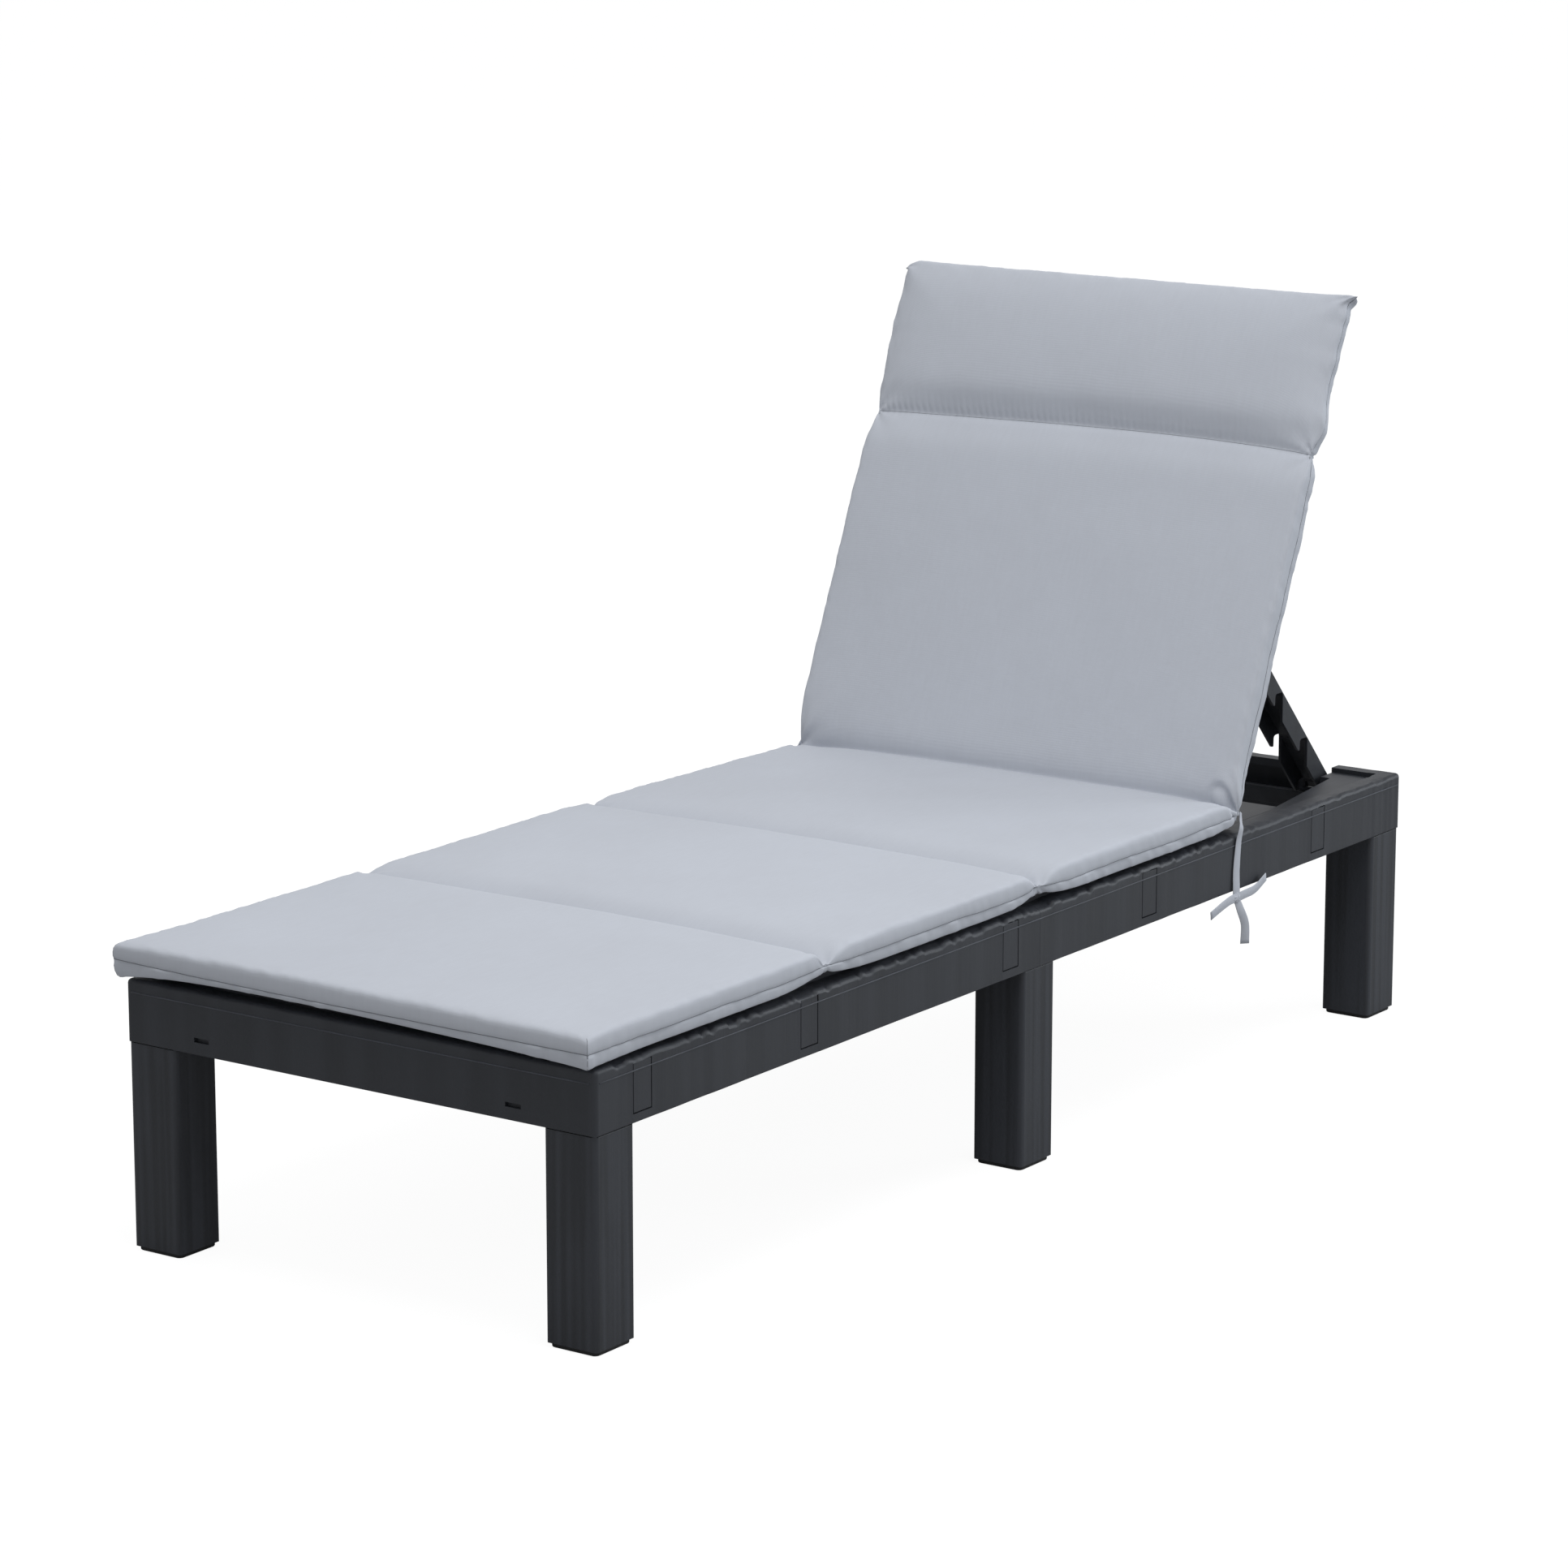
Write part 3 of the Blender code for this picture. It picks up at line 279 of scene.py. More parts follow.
def fabric_material():
    """Light grey woven polyester: fine crossed threads, faint slubs and a soft sheen."""
    sheen = {"Sheen Weight": 0.12, "Sheen Roughness": 0.5, "Specular IOR Level": 0.15}
    made, shader, tree = material("grey_fabric", FABRIC, 0.9, sheen)
    threads = []
    for axis in ("X", "Y"):
        wave = node(tree, "TexWave", {"Scale": 300, "Distortion": 0.6, "Detail": 1}, bands_direction=axis)
        tree.links.new(coordinates(tree), wave.inputs["Vector"])
        threads.append(wave.outputs["Fac"])
    weave = combine(tree, "MULTIPLY", *threads)
    slubs = noise_texture(tree, scale=60, detail=5, stretch=(4, 0.6, 0.6))
    clouds = noise_texture(tree, scale=7, detail=4)
    dents = noise_texture(tree, scale=26, detail=3)
    soft = bump(tree, shader, dents, strength=0.05, distance=3 * MM)
    height = combine(tree, "ADD", weave, combine(tree, "MULTIPLY", slubs, 0.5))
    bump(tree, shader, height, strength=0.20, distance=0.4 * MM, below=soft)
    tint(tree, shader, blended(tree, slubs, 0.4, clouds, 0.6), FABRIC_DARK, FABRIC_LIGHT)
    return made


def thread_material():
    """Darker sewing thread with its twist."""
    made, shader, tree = material("seam_thread", THREAD, 0.85)
    twist = noise_texture(tree, scale=900, detail=2)
    bump(tree, shader, twist, strength=0.3, distance=0.3 * MM)
    tint(tree, shader, twist, THREAD_DARK, THREAD_LIGHT)
    return made


def plastic_material(name, stretch, base, streak=34, contrast=0.14):
    """Moulded dark grey plastic with a grain that runs one way, and streaks of a given fineness."""
    made, shader, tree = material(name, base, 0.55, {"Specular IOR Level": 0.45})
    fine = noise_texture(tree, scale=700, detail=3)
    grain = noise_texture(tree, scale=120, detail=4, stretch=stretch, roughness=0.65)
    streaks = noise_texture(tree, scale=streak, detail=1, stretch=stretch, roughness=0.3)
    worn = noise_texture(tree, scale=6, detail=5)
    height = combine(tree, "ADD", grain, combine(tree, "MULTIPLY", streaks, 1.4))
    under = bump(tree, shader, height, strength=0.28, distance=0.8 * MM)
    bump(tree, shader, fine, strength=0.12, distance=0.3 * MM, below=under)
    shade = blended(tree, streaks, 0.65, worn, 0.35)
    dark, light = (tuple((1 + k * contrast) * c for c in base) for k in (-1, 1.2))
    tint(tree, shader, shade, dark, light, low=0.42, high=0.58)
    rough(tree, shader, worn, low=0.42, high=0.60)
    return made


def rubber_material():
    """Nearly black plastic of the foot caps, with a fine grit."""
    made, shader, tree = material("foot_plastic", RUBBER, 0.7)
    bump(tree, shader, noise_texture(tree, scale=400, detail=4), strength=0.25, distance=0.4 * MM)
    rough(tree, shader, noise_texture(tree, scale=30, detail=4), low=0.55, high=0.8)
    return made


def steel_material():
    """Steel of the pins, turned along their length."""
    made, shader, tree = material("pin_steel", STEEL, 0.3, {"Metallic": 1.0})
    turned = noise_texture(tree, scale=300, detail=3, stretch=(8, 1, 1))
    bump(tree, shader, turned, strength=0.15, distance=0.2 * MM)
    rough(tree, shader, turned, low=0.22, high=0.42)
    return made


def add_object(name, data):
    obj = bpy.data.objects.new(name, data)
    bpy.context.scene.collection.objects.link(obj)
    return obj


def mesh_object(name, points, faces, finish, shade=True):
    mesh = bpy.data.meshes.new(name)
    mesh.from_pydata([tuple(p) for p in points], [], faces)
    mesh.materials.append(finish)
    if shade:
        mesh.shade_smooth()
    return add_object(name, mesh)


def tube_faces(rings, sides, closed=False):
    """Faces of a tube of rings of points, with end caps unless it is closed."""
    faces = []
    for i in range(rings if closed else rings - 1):
        after = (i + 1) % rings
        for j in range(sides):
            k = (j + 1) % sides
            faces.append((i * sides + j, i * sides + k, after * sides + k, after * sides + j))
    if not closed:
        faces += [tuple(range(sides))[::-1], tuple(range((rings - 1) * sides, rings * sides))]
    return faces


def apply_modifiers(obj):
    """Gives an object the mesh that its modifiers make, without them."""
    graph = bpy.context.evaluated_depsgraph_get()
    worked = obj.evaluated_get(graph)
    mesh = bpy.data.meshes.new_from_object(worked, preserve_all_data_layers=True, depsgraph=graph)
    obj.modifiers.clear()
    obj.data = mesh
    return mesh


def wave_noise(value, seed, octaves=3):
    """Smooth seeded noise along one coordinate, about -1 to 1."""
    value = np.atleast_1d(np.asarray(value, float))
    flat = [noise.fractal(Vector((v, seed, 0.37 * seed)), 0.6, 2.1, octaves) for v in value.ravel()]
    return np.array(flat).reshape(value.shape)


def field_noise(a, b, seed, octaves=2):
    """Smooth seeded noise over two coordinates."""
    flat = [noise.fractal(Vector((p, q, seed)), 0.7, 2.0, octaves) for p, q in zip(a.ravel(), b.ravel())]
    return np.array(flat).reshape(a.shape)


# Cushion form

def stations(length, marks):
    """Places between the edge rings of both ends: even cells, and the marks exactly."""
    count = round((length - 2 * FIRST_CELL) / CELL)
    places = np.linspace(FIRST_CELL, length - FIRST_CELL, count + 1)
    clear = [p for p in places if all(abs(p - m) > 0.5 * CELL for m in marks)]
    return np.array(sorted([*clear, *marks]))


def with_rings(inner, length, rings):
    """Places and wall shares of one sheet, from one edge to the other."""
    insets = np.array([inset for inset, _ in rings]) * MM
    shares = np.array([share for _, share in rings])
    places = np.concatenate([insets, inner, (length - insets)[::-1]])
    return places, np.concatenate([shares, np.ones(len(inner)), shares[::-1]])


def channel(away):
    """The form of a seat channel: steep on its foot side and long on its head side."""
    return np.where(away < 0, bell(away, 6.5 * MM, 1.6), double_bell(away, 30 * MM, 9 * MM, 1.4))


class Cushion:
    """The sewn pad as two sheets that meet at the side seam, laid along the seat and up the back."""

    def __init__(self):
        self.seat = HINGE_Y - SEAT_LOW.y
        self.length = self.seat + BACK_LENGTH
        self.width = 2 * HALF_WIDTH
        self.head_seam = self.seat + HEAD_SEAM
        self.sewn = [*SEAT_CHANNELS, self.head_seam]
        self.seams = [*SEAT_CHANNELS, self.seat, self.head_seam]

    def inward(self, u):
        """Distance from the nearer side."""
        return np.minimum(u, self.width - u)

    def side(self, u, reach):
        """1 at the sides of the pad, falling off inward."""
        return fade(self.inward(u), reach)

    def pinch(self, s, reach):
        """1 at each place where the sides are drawn together."""
        return sum(bell(s - place, reach, PINCH_POWER) for place in self.seams)

    def dip(self, s, u):
        """How far the top sinks at the sewn channels and at the bend."""
        side = self.side(u, 34 * MM)
        depth = 13.5 - 5 * fade(u, 80 * MM) + 6 * fade(self.width - u, 32 * MM)
        out = sum(channel(s - place) for place in SEAT_CHANNELS) * depth * MM
        out += double_bell(s - self.seat, 15 * MM, 5 * MM, share=0.5) * (6 + 13 * side) * MM
        sag = np.where(s <= self.seat, smooth((s - self.seat) / (520 * MM) + 1), fade(s - self.seat, 20 * MM))
        out += 7 * MM * sag * fade(u, 130 * MM)
        reach = np.where(s > self.head_seam, 24 * MM, 30 * MM)
        return out + double_bell(s - self.head_seam, reach, 4 * MM, 1.2) * (17 + 3 * side) * MM

    def lift(self, s, u):
        """How far the underside rises at the drawn-in places."""
        drawn = self.pinch(s, 40 * MM) - 0.6 * bell(s - self.head_seam, 40 * MM, PINCH_POWER)
        drawn *= (0.3 + 9.7 * self.side(u, 24 * MM))
        droop = 3.0 * fade(np.hypot(s, self.inward(u)), 45 * MM)
        return (drawn - droop) * MM + self.foot_lift(s, u)

    def foot_lift(self, s, u):
        """How far the foot's edge stands off the frame between its corners, more toward the left."""
        across = (u - self.width / 2) / self.width
        return (9.0 - 13 * across) * MM * fade(s, 32 * MM) * (1 - self.side(u, 110 * MM))

    def waist(self, s):
        """0 at the seams and ends and 1 between them."""
        marks = [0, *self.seams, self.length]
        out = np.zeros_like(s)
        for a, b in zip(marks, marks[1:]):
            share = np.clip((s - a) / (b - a), 0, 1)
            out = np.where((s >= a) & (s <= b), np.sin(math.pi * share) ** 0.7, out)
        return out

    def half_width(self, s, edge):
        """The left or right edge's distance from the middle, with the puckers of its stitching."""
        on_back = smooth((s - self.seat) / (60 * MM))
        on_head = smooth((s - self.head_seam) / (20 * MM))
        puckers = (0.35 + 0.30 * on_back + 1.6 * on_head) * MM * wave_noise(s / (15 * MM), 3.1 + edge["seed"])
        sway = (0.8 + 0.6 * on_back) * MM * wave_noise(s / (110 * MM), 7.3 + edge["seed"], 2)
        drawn = edge["channel"] * sum(bell(s - place, 14 * MM, 1.2) for place in SEAT_CHANNELS)
        drawn += edge["bend"] * bell(s - self.seat, 12 * MM, 1.2)
        drawn += edge["head"] * bell(s - self.head_seam, 11 * MM, 1.2)
        drawn -= edge["bulge"] * bell(s - self.head_seam - 36 * MM, 26 * MM)
        shifted = on_back * edge["on_back"] + on_head * edge["on_head"]
        return HALF_WIDTH + (0.8 - drawn + shifted) * MM + puckers + sway

    def place(self, x, s, h):
        """World point of a place s along the pad and h above its underside."""
        bend = (CUSHION_RISE + h) * math.tan(BACK_ANGLE / 2)
        on_seat = s <= self.seat
        t = np.where(on_seat, s / self.seat, (s - self.seat) / BACK_LENGTH)
        share = x / HALF_WIDTH
        arch = 1 - share ** 2
        bow = CHANNEL_BOW * arch * sum(bell(s - place, 120 * MM) for place in SEAT_CHANNELS)
        seat_y = SEAT_LOW.y + t * (HINGE_Y - bend - SEAT_LOW.y) + bow
        along = bend + t * (BACK_LENGTH + BACK_STRETCH + BACK_SKEW * share - bend)
        along += SEAM_BOW * bell(s - self.head_seam, 70 * MM) * arch * (1 + 0.5 * share)
        up = CUSHION_RISE + h
        back_y = HINGE_Y + along * math.cos(BACK_ANGLE) - up * math.sin(BACK_ANGLE)
        back_z = HINGE_Z + along * math.sin(BACK_ANGLE) + up * math.cos(BACK_ANGLE)
        y = np.where(on_seat, seat_y, back_y)
        z = np.where(on_seat, CUSHION_BASE + h, back_z)
        return np.stack([x, y, z], axis=-1)

    def seam_height(self, s, u):
        """Height of the side seam, higher where the pad is drawn together and at the foot's left."""
        at_foot = 4 * MM * np.exp(-u / (160 * MM) - s / (40 * MM)) - 0.1 * self.foot_lift(s, u)
        wave = 1.4 * MM * wave_noise(s / (70 * MM), 11.7, 2)
        return SEAM_HEIGHT + 2.5 * MM * self.pinch(s, 30 * MM) + at_foot + wave

    def top(self, s, u, wall):
        """Height of the upper sheet."""
        on_head = smooth((s - self.head_seam) / (30 * MM))
        crown = self.waist(s) * (1 - self.side(u, 60 * MM)) * (2.0 + 6.0 * on_head) * MM
        end = fade(self.length - s, 26 * MM)
        soft_edge = on_head * np.maximum(self.side(u, 28 * MM), end) * 13 * MM
        rim = fade(np.minimum(self.inward(u), s), 18 * MM) * (1 - on_head)
        uneven = 0.6 * MM * rim * field_noise(u / (60 * MM), s / (60 * MM), 8.0)
        worn = (3.2 * fade(s, 10 * MM) + 1.6 * self.side(u, 9 * MM) * (1 - on_head)) * MM
        worn -= 4.5 * MM * fade(np.hypot(s, u), 55 * MM)
        full = CUSHION_THICKNESS + crown + uneven + 0.45 * self.foot_lift(s, u)
        full = full - worn - self.dip(s, u) - soft_edge
        seam = self.seam_height(s, u)
        return seam + (np.maximum(full, seam + 2 * MM) - seam) * wall

    def bottom(self, s, u, wall):
        """Height of the lower sheet."""
        seam = self.seam_height(s, u)
        return seam * (1 - wall) + np.minimum(self.lift(s, u), seam - 3 * MM) * wall

    def sheet(self, inner_s, inner_u, rings, height):
        """Points of one sheet, with their places along and across the pad and their wall shares."""
        s, wall_s = with_rings(inner_s, self.length, rings)
        u, wall_u = with_rings(inner_u, self.width, rings)
        wall = np.minimum(wall_s[:, None], wall_u[None])
        s, u = np.meshgrid(s, u, indexing="ij")
        left, right = (self.half_width(s[:, 0], edge)[:, None] for edge in (LEFT, RIGHT))
        share = u / self.width
        return self.place(-left * (1 - share) + right * share, s, height(s, u, wall)), s, u, wall

    def build(self, finish):
        """The pad's mesh, with its points' places as attributes, and its sewn lines as lists of points."""
        inner_s = stations(self.length, [seam + mark * MM for seam in self.seams for mark in SEAM_MARKS])
        inner_u = stations(self.width, [])
        upper = self.sheet(inner_s, inner_u, TOP_RINGS, self.top)
        lower = self.sheet(inner_s, inner_u, LOW_RINGS, self.bottom)
        rows, columns = upper[1].shape
        total, inside = rows * columns, (rows - 2) * (columns - 2)
        index = np.arange(total).reshape(rows, columns)
        under = index.copy()
        under[1:-1, 1:-1] = total + np.arange(inside).reshape(rows - 2, columns - 2)

        def join(a, b):
            return np.concatenate([a.reshape(total, -1), b[1:-1, 1:-1].reshape(inside, -1)])

        faces = []
        for sheet, flip in ((index, 1), (under, -1)):
            corners = (sheet[:-1, :-1], sheet[:-1, 1:], sheet[1:, 1:], sheet[1:, :-1])
            faces += np.stack([c.ravel() for c in corners[::flip]], axis=1).tolist()
        obj = mesh_object("cushion", join(upper[0], lower[0]), faces, finish)
        values = [join(a, b) for a, b in zip(upper[1:], lower[1:])]
        values.append(np.repeat((0.0, 1.0), (total, inside)))
        for name, value in zip(POINT_VALUES, values):
            attribute = obj.data.attributes.new(name, "FLOAT", "POINT")
            attribute.data.foreach_set("value", value.astype(np.float32).ravel())
        return obj, self.sewn_lines(index, under, upper[1][:, 0])

    def sewn_lines(self, index, under, along):
        """Points of the side seam, of the upright seams at the foot's corners and of the channels."""
        lines = {"side": [*index[0], *index[1:, -1], *index[-1, -2::-1], *index[-2:0:-1, 0]]}
        for name, step in (("corner_left", 1), ("corner_right", -1)):
            above, below = np.diagonal(index[:, ::step]), np.diagonal(under[:, ::step])
            lines[name] = [*above[6:0:-1], *below[:6]]
        for number, seam in enumerate(self.sewn, 1):
            lines[f"channel_{number}"] = index[int(np.argmin(np.abs(along - seam)))][3:-3]
        return {name: [int(i) for i in line] for name, line in lines.items()}


def values_of(mesh, name):
    out = np.empty(len(mesh.vertices), np.float32)
    mesh.attributes[name].data.foreach_get("value", out)
    return out.astype(float)


def points_of(mesh, key="co"):
    out = np.empty(len(mesh.vertices) * 3, np.float32)
    mesh.vertices.foreach_get(key, out)
    return out.reshape(-1, 3).astype(float)


def set_points(mesh, points):
    mesh.vertices.foreach_set("co", points.astype(np.float32).ravel())
    mesh.update()


def settled(mesh, shift):
    """The displacement of a mesh's points, evened out over their neighbours."""
    edges = np.empty(len(mesh.edges) * 2, np.int32)
    mesh.edges.foreach_get("vertices", edges)
    a, b = edges.reshape(-1, 2).T
    degree = np.bincount(edges, minlength=len(shift))[:, None]
    for _ in range(14):
        total = np.zeros_like(shift)
        np.add.at(total, a, shift[b])
        np.add.at(total, b, shift[a])
        shift = 0.5 * shift + 0.5 * total / degree
    return shift


def swell(obj, pad, ring):
    """Fills the pad between its seams with the cloth solver, holding its box edges near their sewn form."""
    mesh = obj.data
    rest = points_of(mesh)
    along, across, wall, below = (values_of(mesh, key) for key in POINT_VALUES)
    sewn = np.min([np.abs(along - seam) for seam in pad.seams], axis=0) < 0.2 * MM
    sewn[ring] = True
    pins = obj.vertex_groups.new(name="sewn")
    pins.add([int(i) for i in np.nonzero(sewn)[0]], 1.0, "REPLACE")
    cloth = obj.modifiers.new("filling", "CLOTH")
    for key, value in CLOTH.items():
        setattr(cloth.settings, key, value)
    cloth.settings.effector_weights.gravity = 0
    cloth.point_cache.frame_start = 1
    cloth.point_cache.frame_end = SIMULATED_FRAMES
    scene = bpy.context.scene
    for step in range(1, SIMULATED_FRAMES + 1):
        scene.frame_set(step)
    graph = bpy.context.evaluated_depsgraph_get()
    moved = points_of(obj.evaluated_get(graph).data)
    obj.modifiers.remove(cloth)
    obj.vertex_groups.clear()
    scene.frame_set(1)
    shift = settled(mesh, moved - rest)
    shift *= SWELL_CAP / (SWELL_CAP + np.linalg.norm(shift, axis=1, keepdims=True))
    edge = np.minimum(pad.inward(across), np.minimum(along, pad.length - along))
    hold = 0.15 + 0.85 * smooth((edge - 6 * MM) / (45 * MM)) * (wall > 0.99)
    shift *= (hold * np.where(below > 0.5, 0.15, 1.0))[:, None]
    set_points(mesh, rest + shift)


def refine_band(mesh, pad):
    """Doubles the points across the pad beside its sewn channels, for their fine gathers."""
    bm = bmesh.new()
    bm.from_mesh(mesh)
    along = bm.verts.layers.float["along"]
    below = bm.verts.layers.float["below"]

    def near(vert):
        return vert[below] < 0.5 and min(abs(vert[along] - seam) for seam in pad.sewn) < 28 * MM

    def across(edge):
        return abs(edge.verts[0][along] - edge.verts[1][along]) < 0.3 * MM

    edges = [edge for edge in bm.edges if all(near(vert) for vert in edge.verts) and across(edge)]
    bmesh.ops.subdivide_edges(bm, edges=edges, cuts=1, use_grid_fill=True)
    bm.to_mesh(mesh)
    bm.free()


def wrinkle(mesh, pad):
    """Moves points along their normals: gathers, folds at the drawn-in places and faint waves."""
    points, normals = points_of(mesh), points_of(mesh, "normal")
    s, u, wall, below = (values_of(mesh, key) for key in POINT_VALUES)
    x = u - pad.width / 2
    flat = smooth((wall - 0.9) / 0.1)
    upper = 1 - below
    out, from_end = pad.inward(u), pad.length - s
    push = upper * flat * 0.8 * MM * field_noise(x / (130 * MM), s / (160 * MM), 2.0)
    push += upper * flat * 0.22 * MM * field_noise(x / (36 * MM), s / (50 * MM), 5.0)
    push += upper * gathers(x, s, pad.sewn)
    inset = np.minimum(out, np.minimum(s, from_end))
    crease = upper * bell(inset - 4 * MM, 6 * MM) * smooth(wall * 4 - 3)
    far = np.sign(x) * 40
    push += 0.8 * MM * crease * wave_noise((s + x) / (13 * MM) + far, 3.9, 2)
    side_wall = (1 - flat) * wave_noise((s + x) / (17 * MM) + far, 6.6)
    lower_wall = (1 - flat) * below * wave_noise((s + 1.3 * x) / (30 * MM), 2.6)
    push += 0.5 * MM * side_wall * upper + 1.6 * MM * lower_wall
    for seam, size in zip(pad.seams, SEAM_FOLDS):
        push += size * MM * folds(out, s - seam, seam)
    push += 2.0 * MM * corner_folds(out, from_end)
    push += upper * bend_folds(x - HALF_WIDTH, s - pad.seat)
    points += normals * push[:, None]
    points += ears(out, from_end, x)
    set_points(mesh, points)


def gathers(x, s, seams):
    """Fine gathers that run into the sewn channels, stronger toward the right on the seat."""
    beat = x + 1.2 * MM * wave_noise(x / (30 * MM), 1.7, 2)
    rows = np.sin(2 * math.pi * beat / GATHER_SPACING) * (0.7 + 0.6 * wave_noise(x / (26 * MM), 9.1, 2))
    toward_right = 0.25 + 0.75 * smooth((x + 120 * MM) / (260 * MM))
    push = np.zeros_like(s)
    for seam, (before, beyond, size) in zip(seams, GATHERS):
        away = s - seam
        share = toward_right if seam in SEAT_CHANNELS else 1
        reach = np.where(away > 0, beyond, before) * MM
        strength = np.where(away > 0, size, 0.5 * size) * share * MM
        push += strength * rows * fade(np.abs(away), reach) * smooth(np.abs(away) / (2.5 * MM))
    return push


def folds(out, away, seed):
    """Folds that fan in from a point on the side where the pad is drawn together."""
    radius = np.sqrt(out ** 2 + away ** 2)
    angle = np.arctan2(away, out + 1 * MM)
    fan = np.sin(angle * 8 + 40 * seed) * np.exp(-radius / (26 * MM)) * smooth(radius / (7 * MM))
    return fan - 0.8 * bell(radius, 13 * MM)


def bend_folds(from_right, up):
    """The bulge where the right tie pulls the back, with a curved fold above and a crushed end below."""
    radius = np.sqrt((from_right + 23 * MM) ** 2 + (up - 4 * MM) ** 2)
    bulge = sum(size * bell(radius - place * MM, reach * MM) for size, place, reach in BULGE_RINGS)
    crushed = sum(size * bell(up - place * MM, reach * MM) for size, place, reach in CRUSHED_LINES)
    inward = np.exp(np.minimum(from_right, 0) / (12 * MM))
    return MM * np.where(up > 0, bulge, crushed * inward)


def corner_folds(out, from_end):
    """Folds that fan out from the head's corners."""
    radius = np.sqrt(out ** 2 + from_end ** 2)
    angle = np.arctan2(from_end, out + 0.5 * MM)
    return np.sin(angle * 7 + 1.0) * np.exp(-radius / (20 * MM)) * smooth(radius / (6 * MM))


def ears(out, from_end, x):
    """How far the pointed corners of the head's end are pulled out."""
    radius = np.sqrt(out ** 2 + from_end ** 2)
    near = np.clip(1 - radius / (18 * MM), 0, 1)[:, None]
    up = np.array([0, math.cos(BACK_ANGLE), math.sin(BACK_ANGLE)])
    right, left = np.array([8.5, 0, 0]) + 1.0 * up, np.array([-2.0, 0, 0]) - 11 * up
    return np.where(x[:, None] > 0, near ** 3 * right, near ** 1.5 * left) * MM


def seam_line(name, line, mesh, finish):
    """Sewing thread along a line of the pad's points."""
    points = [mesh.vertices[i].co.copy() for i in line]
    count = len(points)
    closed = name == "side"
    radius = (0.5 if closed else 0.32) * MM
    rings = []
    for i, point in enumerate(points):
        after = points[(i + 1) % count] if closed else points[min(i + 1, count - 1)]
        before = points[i - 1] if closed else points[max(i - 1, 0)]
        run = (after - before).normalized()
        across = run.cross(Vector((0, 0, 1)))
        if across.length <= 0.3:
            across = run.cross(Vector((1, 0, 0)))
        across = across.normalized()
        other = across.cross(run).normalized()
        for k in range(THREAD_SIDES):
            a = math.tau * k / THREAD_SIDES
            rings.append(point + radius * (across * math.cos(a) + other * math.sin(a)))
    faces = tube_faces(count, THREAD_SIDES, closed)
    across_the_bend(mesh_object(f"cushion_seam_{name}", rings, faces, finish))


def across_the_bend(obj):
    """Lets a piece of the pad bend with the backrest."""
    start = (0, HINGE_Y - BEND_REACH, CUSHION_BASE)
    up = HINGE_Z + BEND_REACH * math.sin(BACK_ANGLE) + CUSHION_RISE
    end = (0, HINGE_Y + BEND_REACH * math.cos(BACK_ANGLE), up)
    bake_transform(obj, "frame", "backrest", start=start, end=end)


def build_cushion(finish, thread):
    pad = Cushion()
    obj, lines = pad.build(finish)
    swell(obj, pad, lines["side"])
    level = obj.modifiers.new("finer", "SUBSURF")
    level.levels = level.render_levels = 1
    mesh = apply_modifiers(obj)
    refine_band(mesh, pad)
    wrinkle(mesh, pad)
    mesh.shade_smooth()
    for name, line in lines.items():
        seam_line(name, line, mesh, thread)
    for name in POINT_VALUES:
        mesh.attributes.remove(mesh.attributes[name])
    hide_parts("seat_cushion", "back_cushion")
    across_the_bend(obj)


# Ties

def strip(name, path, finish, twist=0.0, narrow=1.0):
    """A flat tape along a smooth path, narrow at its start, its flat side turned by the twist along it."""
    points = smooth_path([Vector(p) for p in path])
    rings = []
    for i, point in enumerate(points):
        run = (points[min(i + 1, len(points) - 1)] - points[max(i - 1, 0)]).normalized()
        across = run.cross(Vector((1, 0, 0))).normalized()
        face = across.cross(run).normalized()
        share = i / (len(points) - 1)
        angle = twist * share
        half = TAPE_WIDTH / 2 * (narrow + (1 - narrow) * min(1, 1.6 * share))
        wide = across * math.cos(angle) + face * math.sin(angle)
        thin = face * math.cos(angle) - across * math.sin(angle)
        rings += [point + wide * a * half + thin * b * TAPE_THICKNESS / 2 for a, b in TAPE_SECTION]
    return on_rail(mesh_object(name, rings, tube_faces(len(points), len(TAPE_SECTION)), finish))


def on_rail(obj):
    """Lets a piece of the tie stay with the frame."""
    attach(obj, "frame")
    return obj


def smooth_path(points):
    """A curve through the points."""
    out = []
    ends = [points[0] * 2 - points[1], *points, points[-1] * 2 - points[-2]]
    for a, b, c, d in zip(ends, ends[1:], ends[2:], ends[3:]):
        for k in range(PATH_STEPS):
            t = k / PATH_STEPS
            square, cube = 2 * a - 5 * b + 4 * c - d, 3 * b - a - 3 * c + d
            out.append(0.5 * ((2 * b) + (c - a) * t + square * t * t + cube * t ** 3))
    out.append(points[-1])
    return out


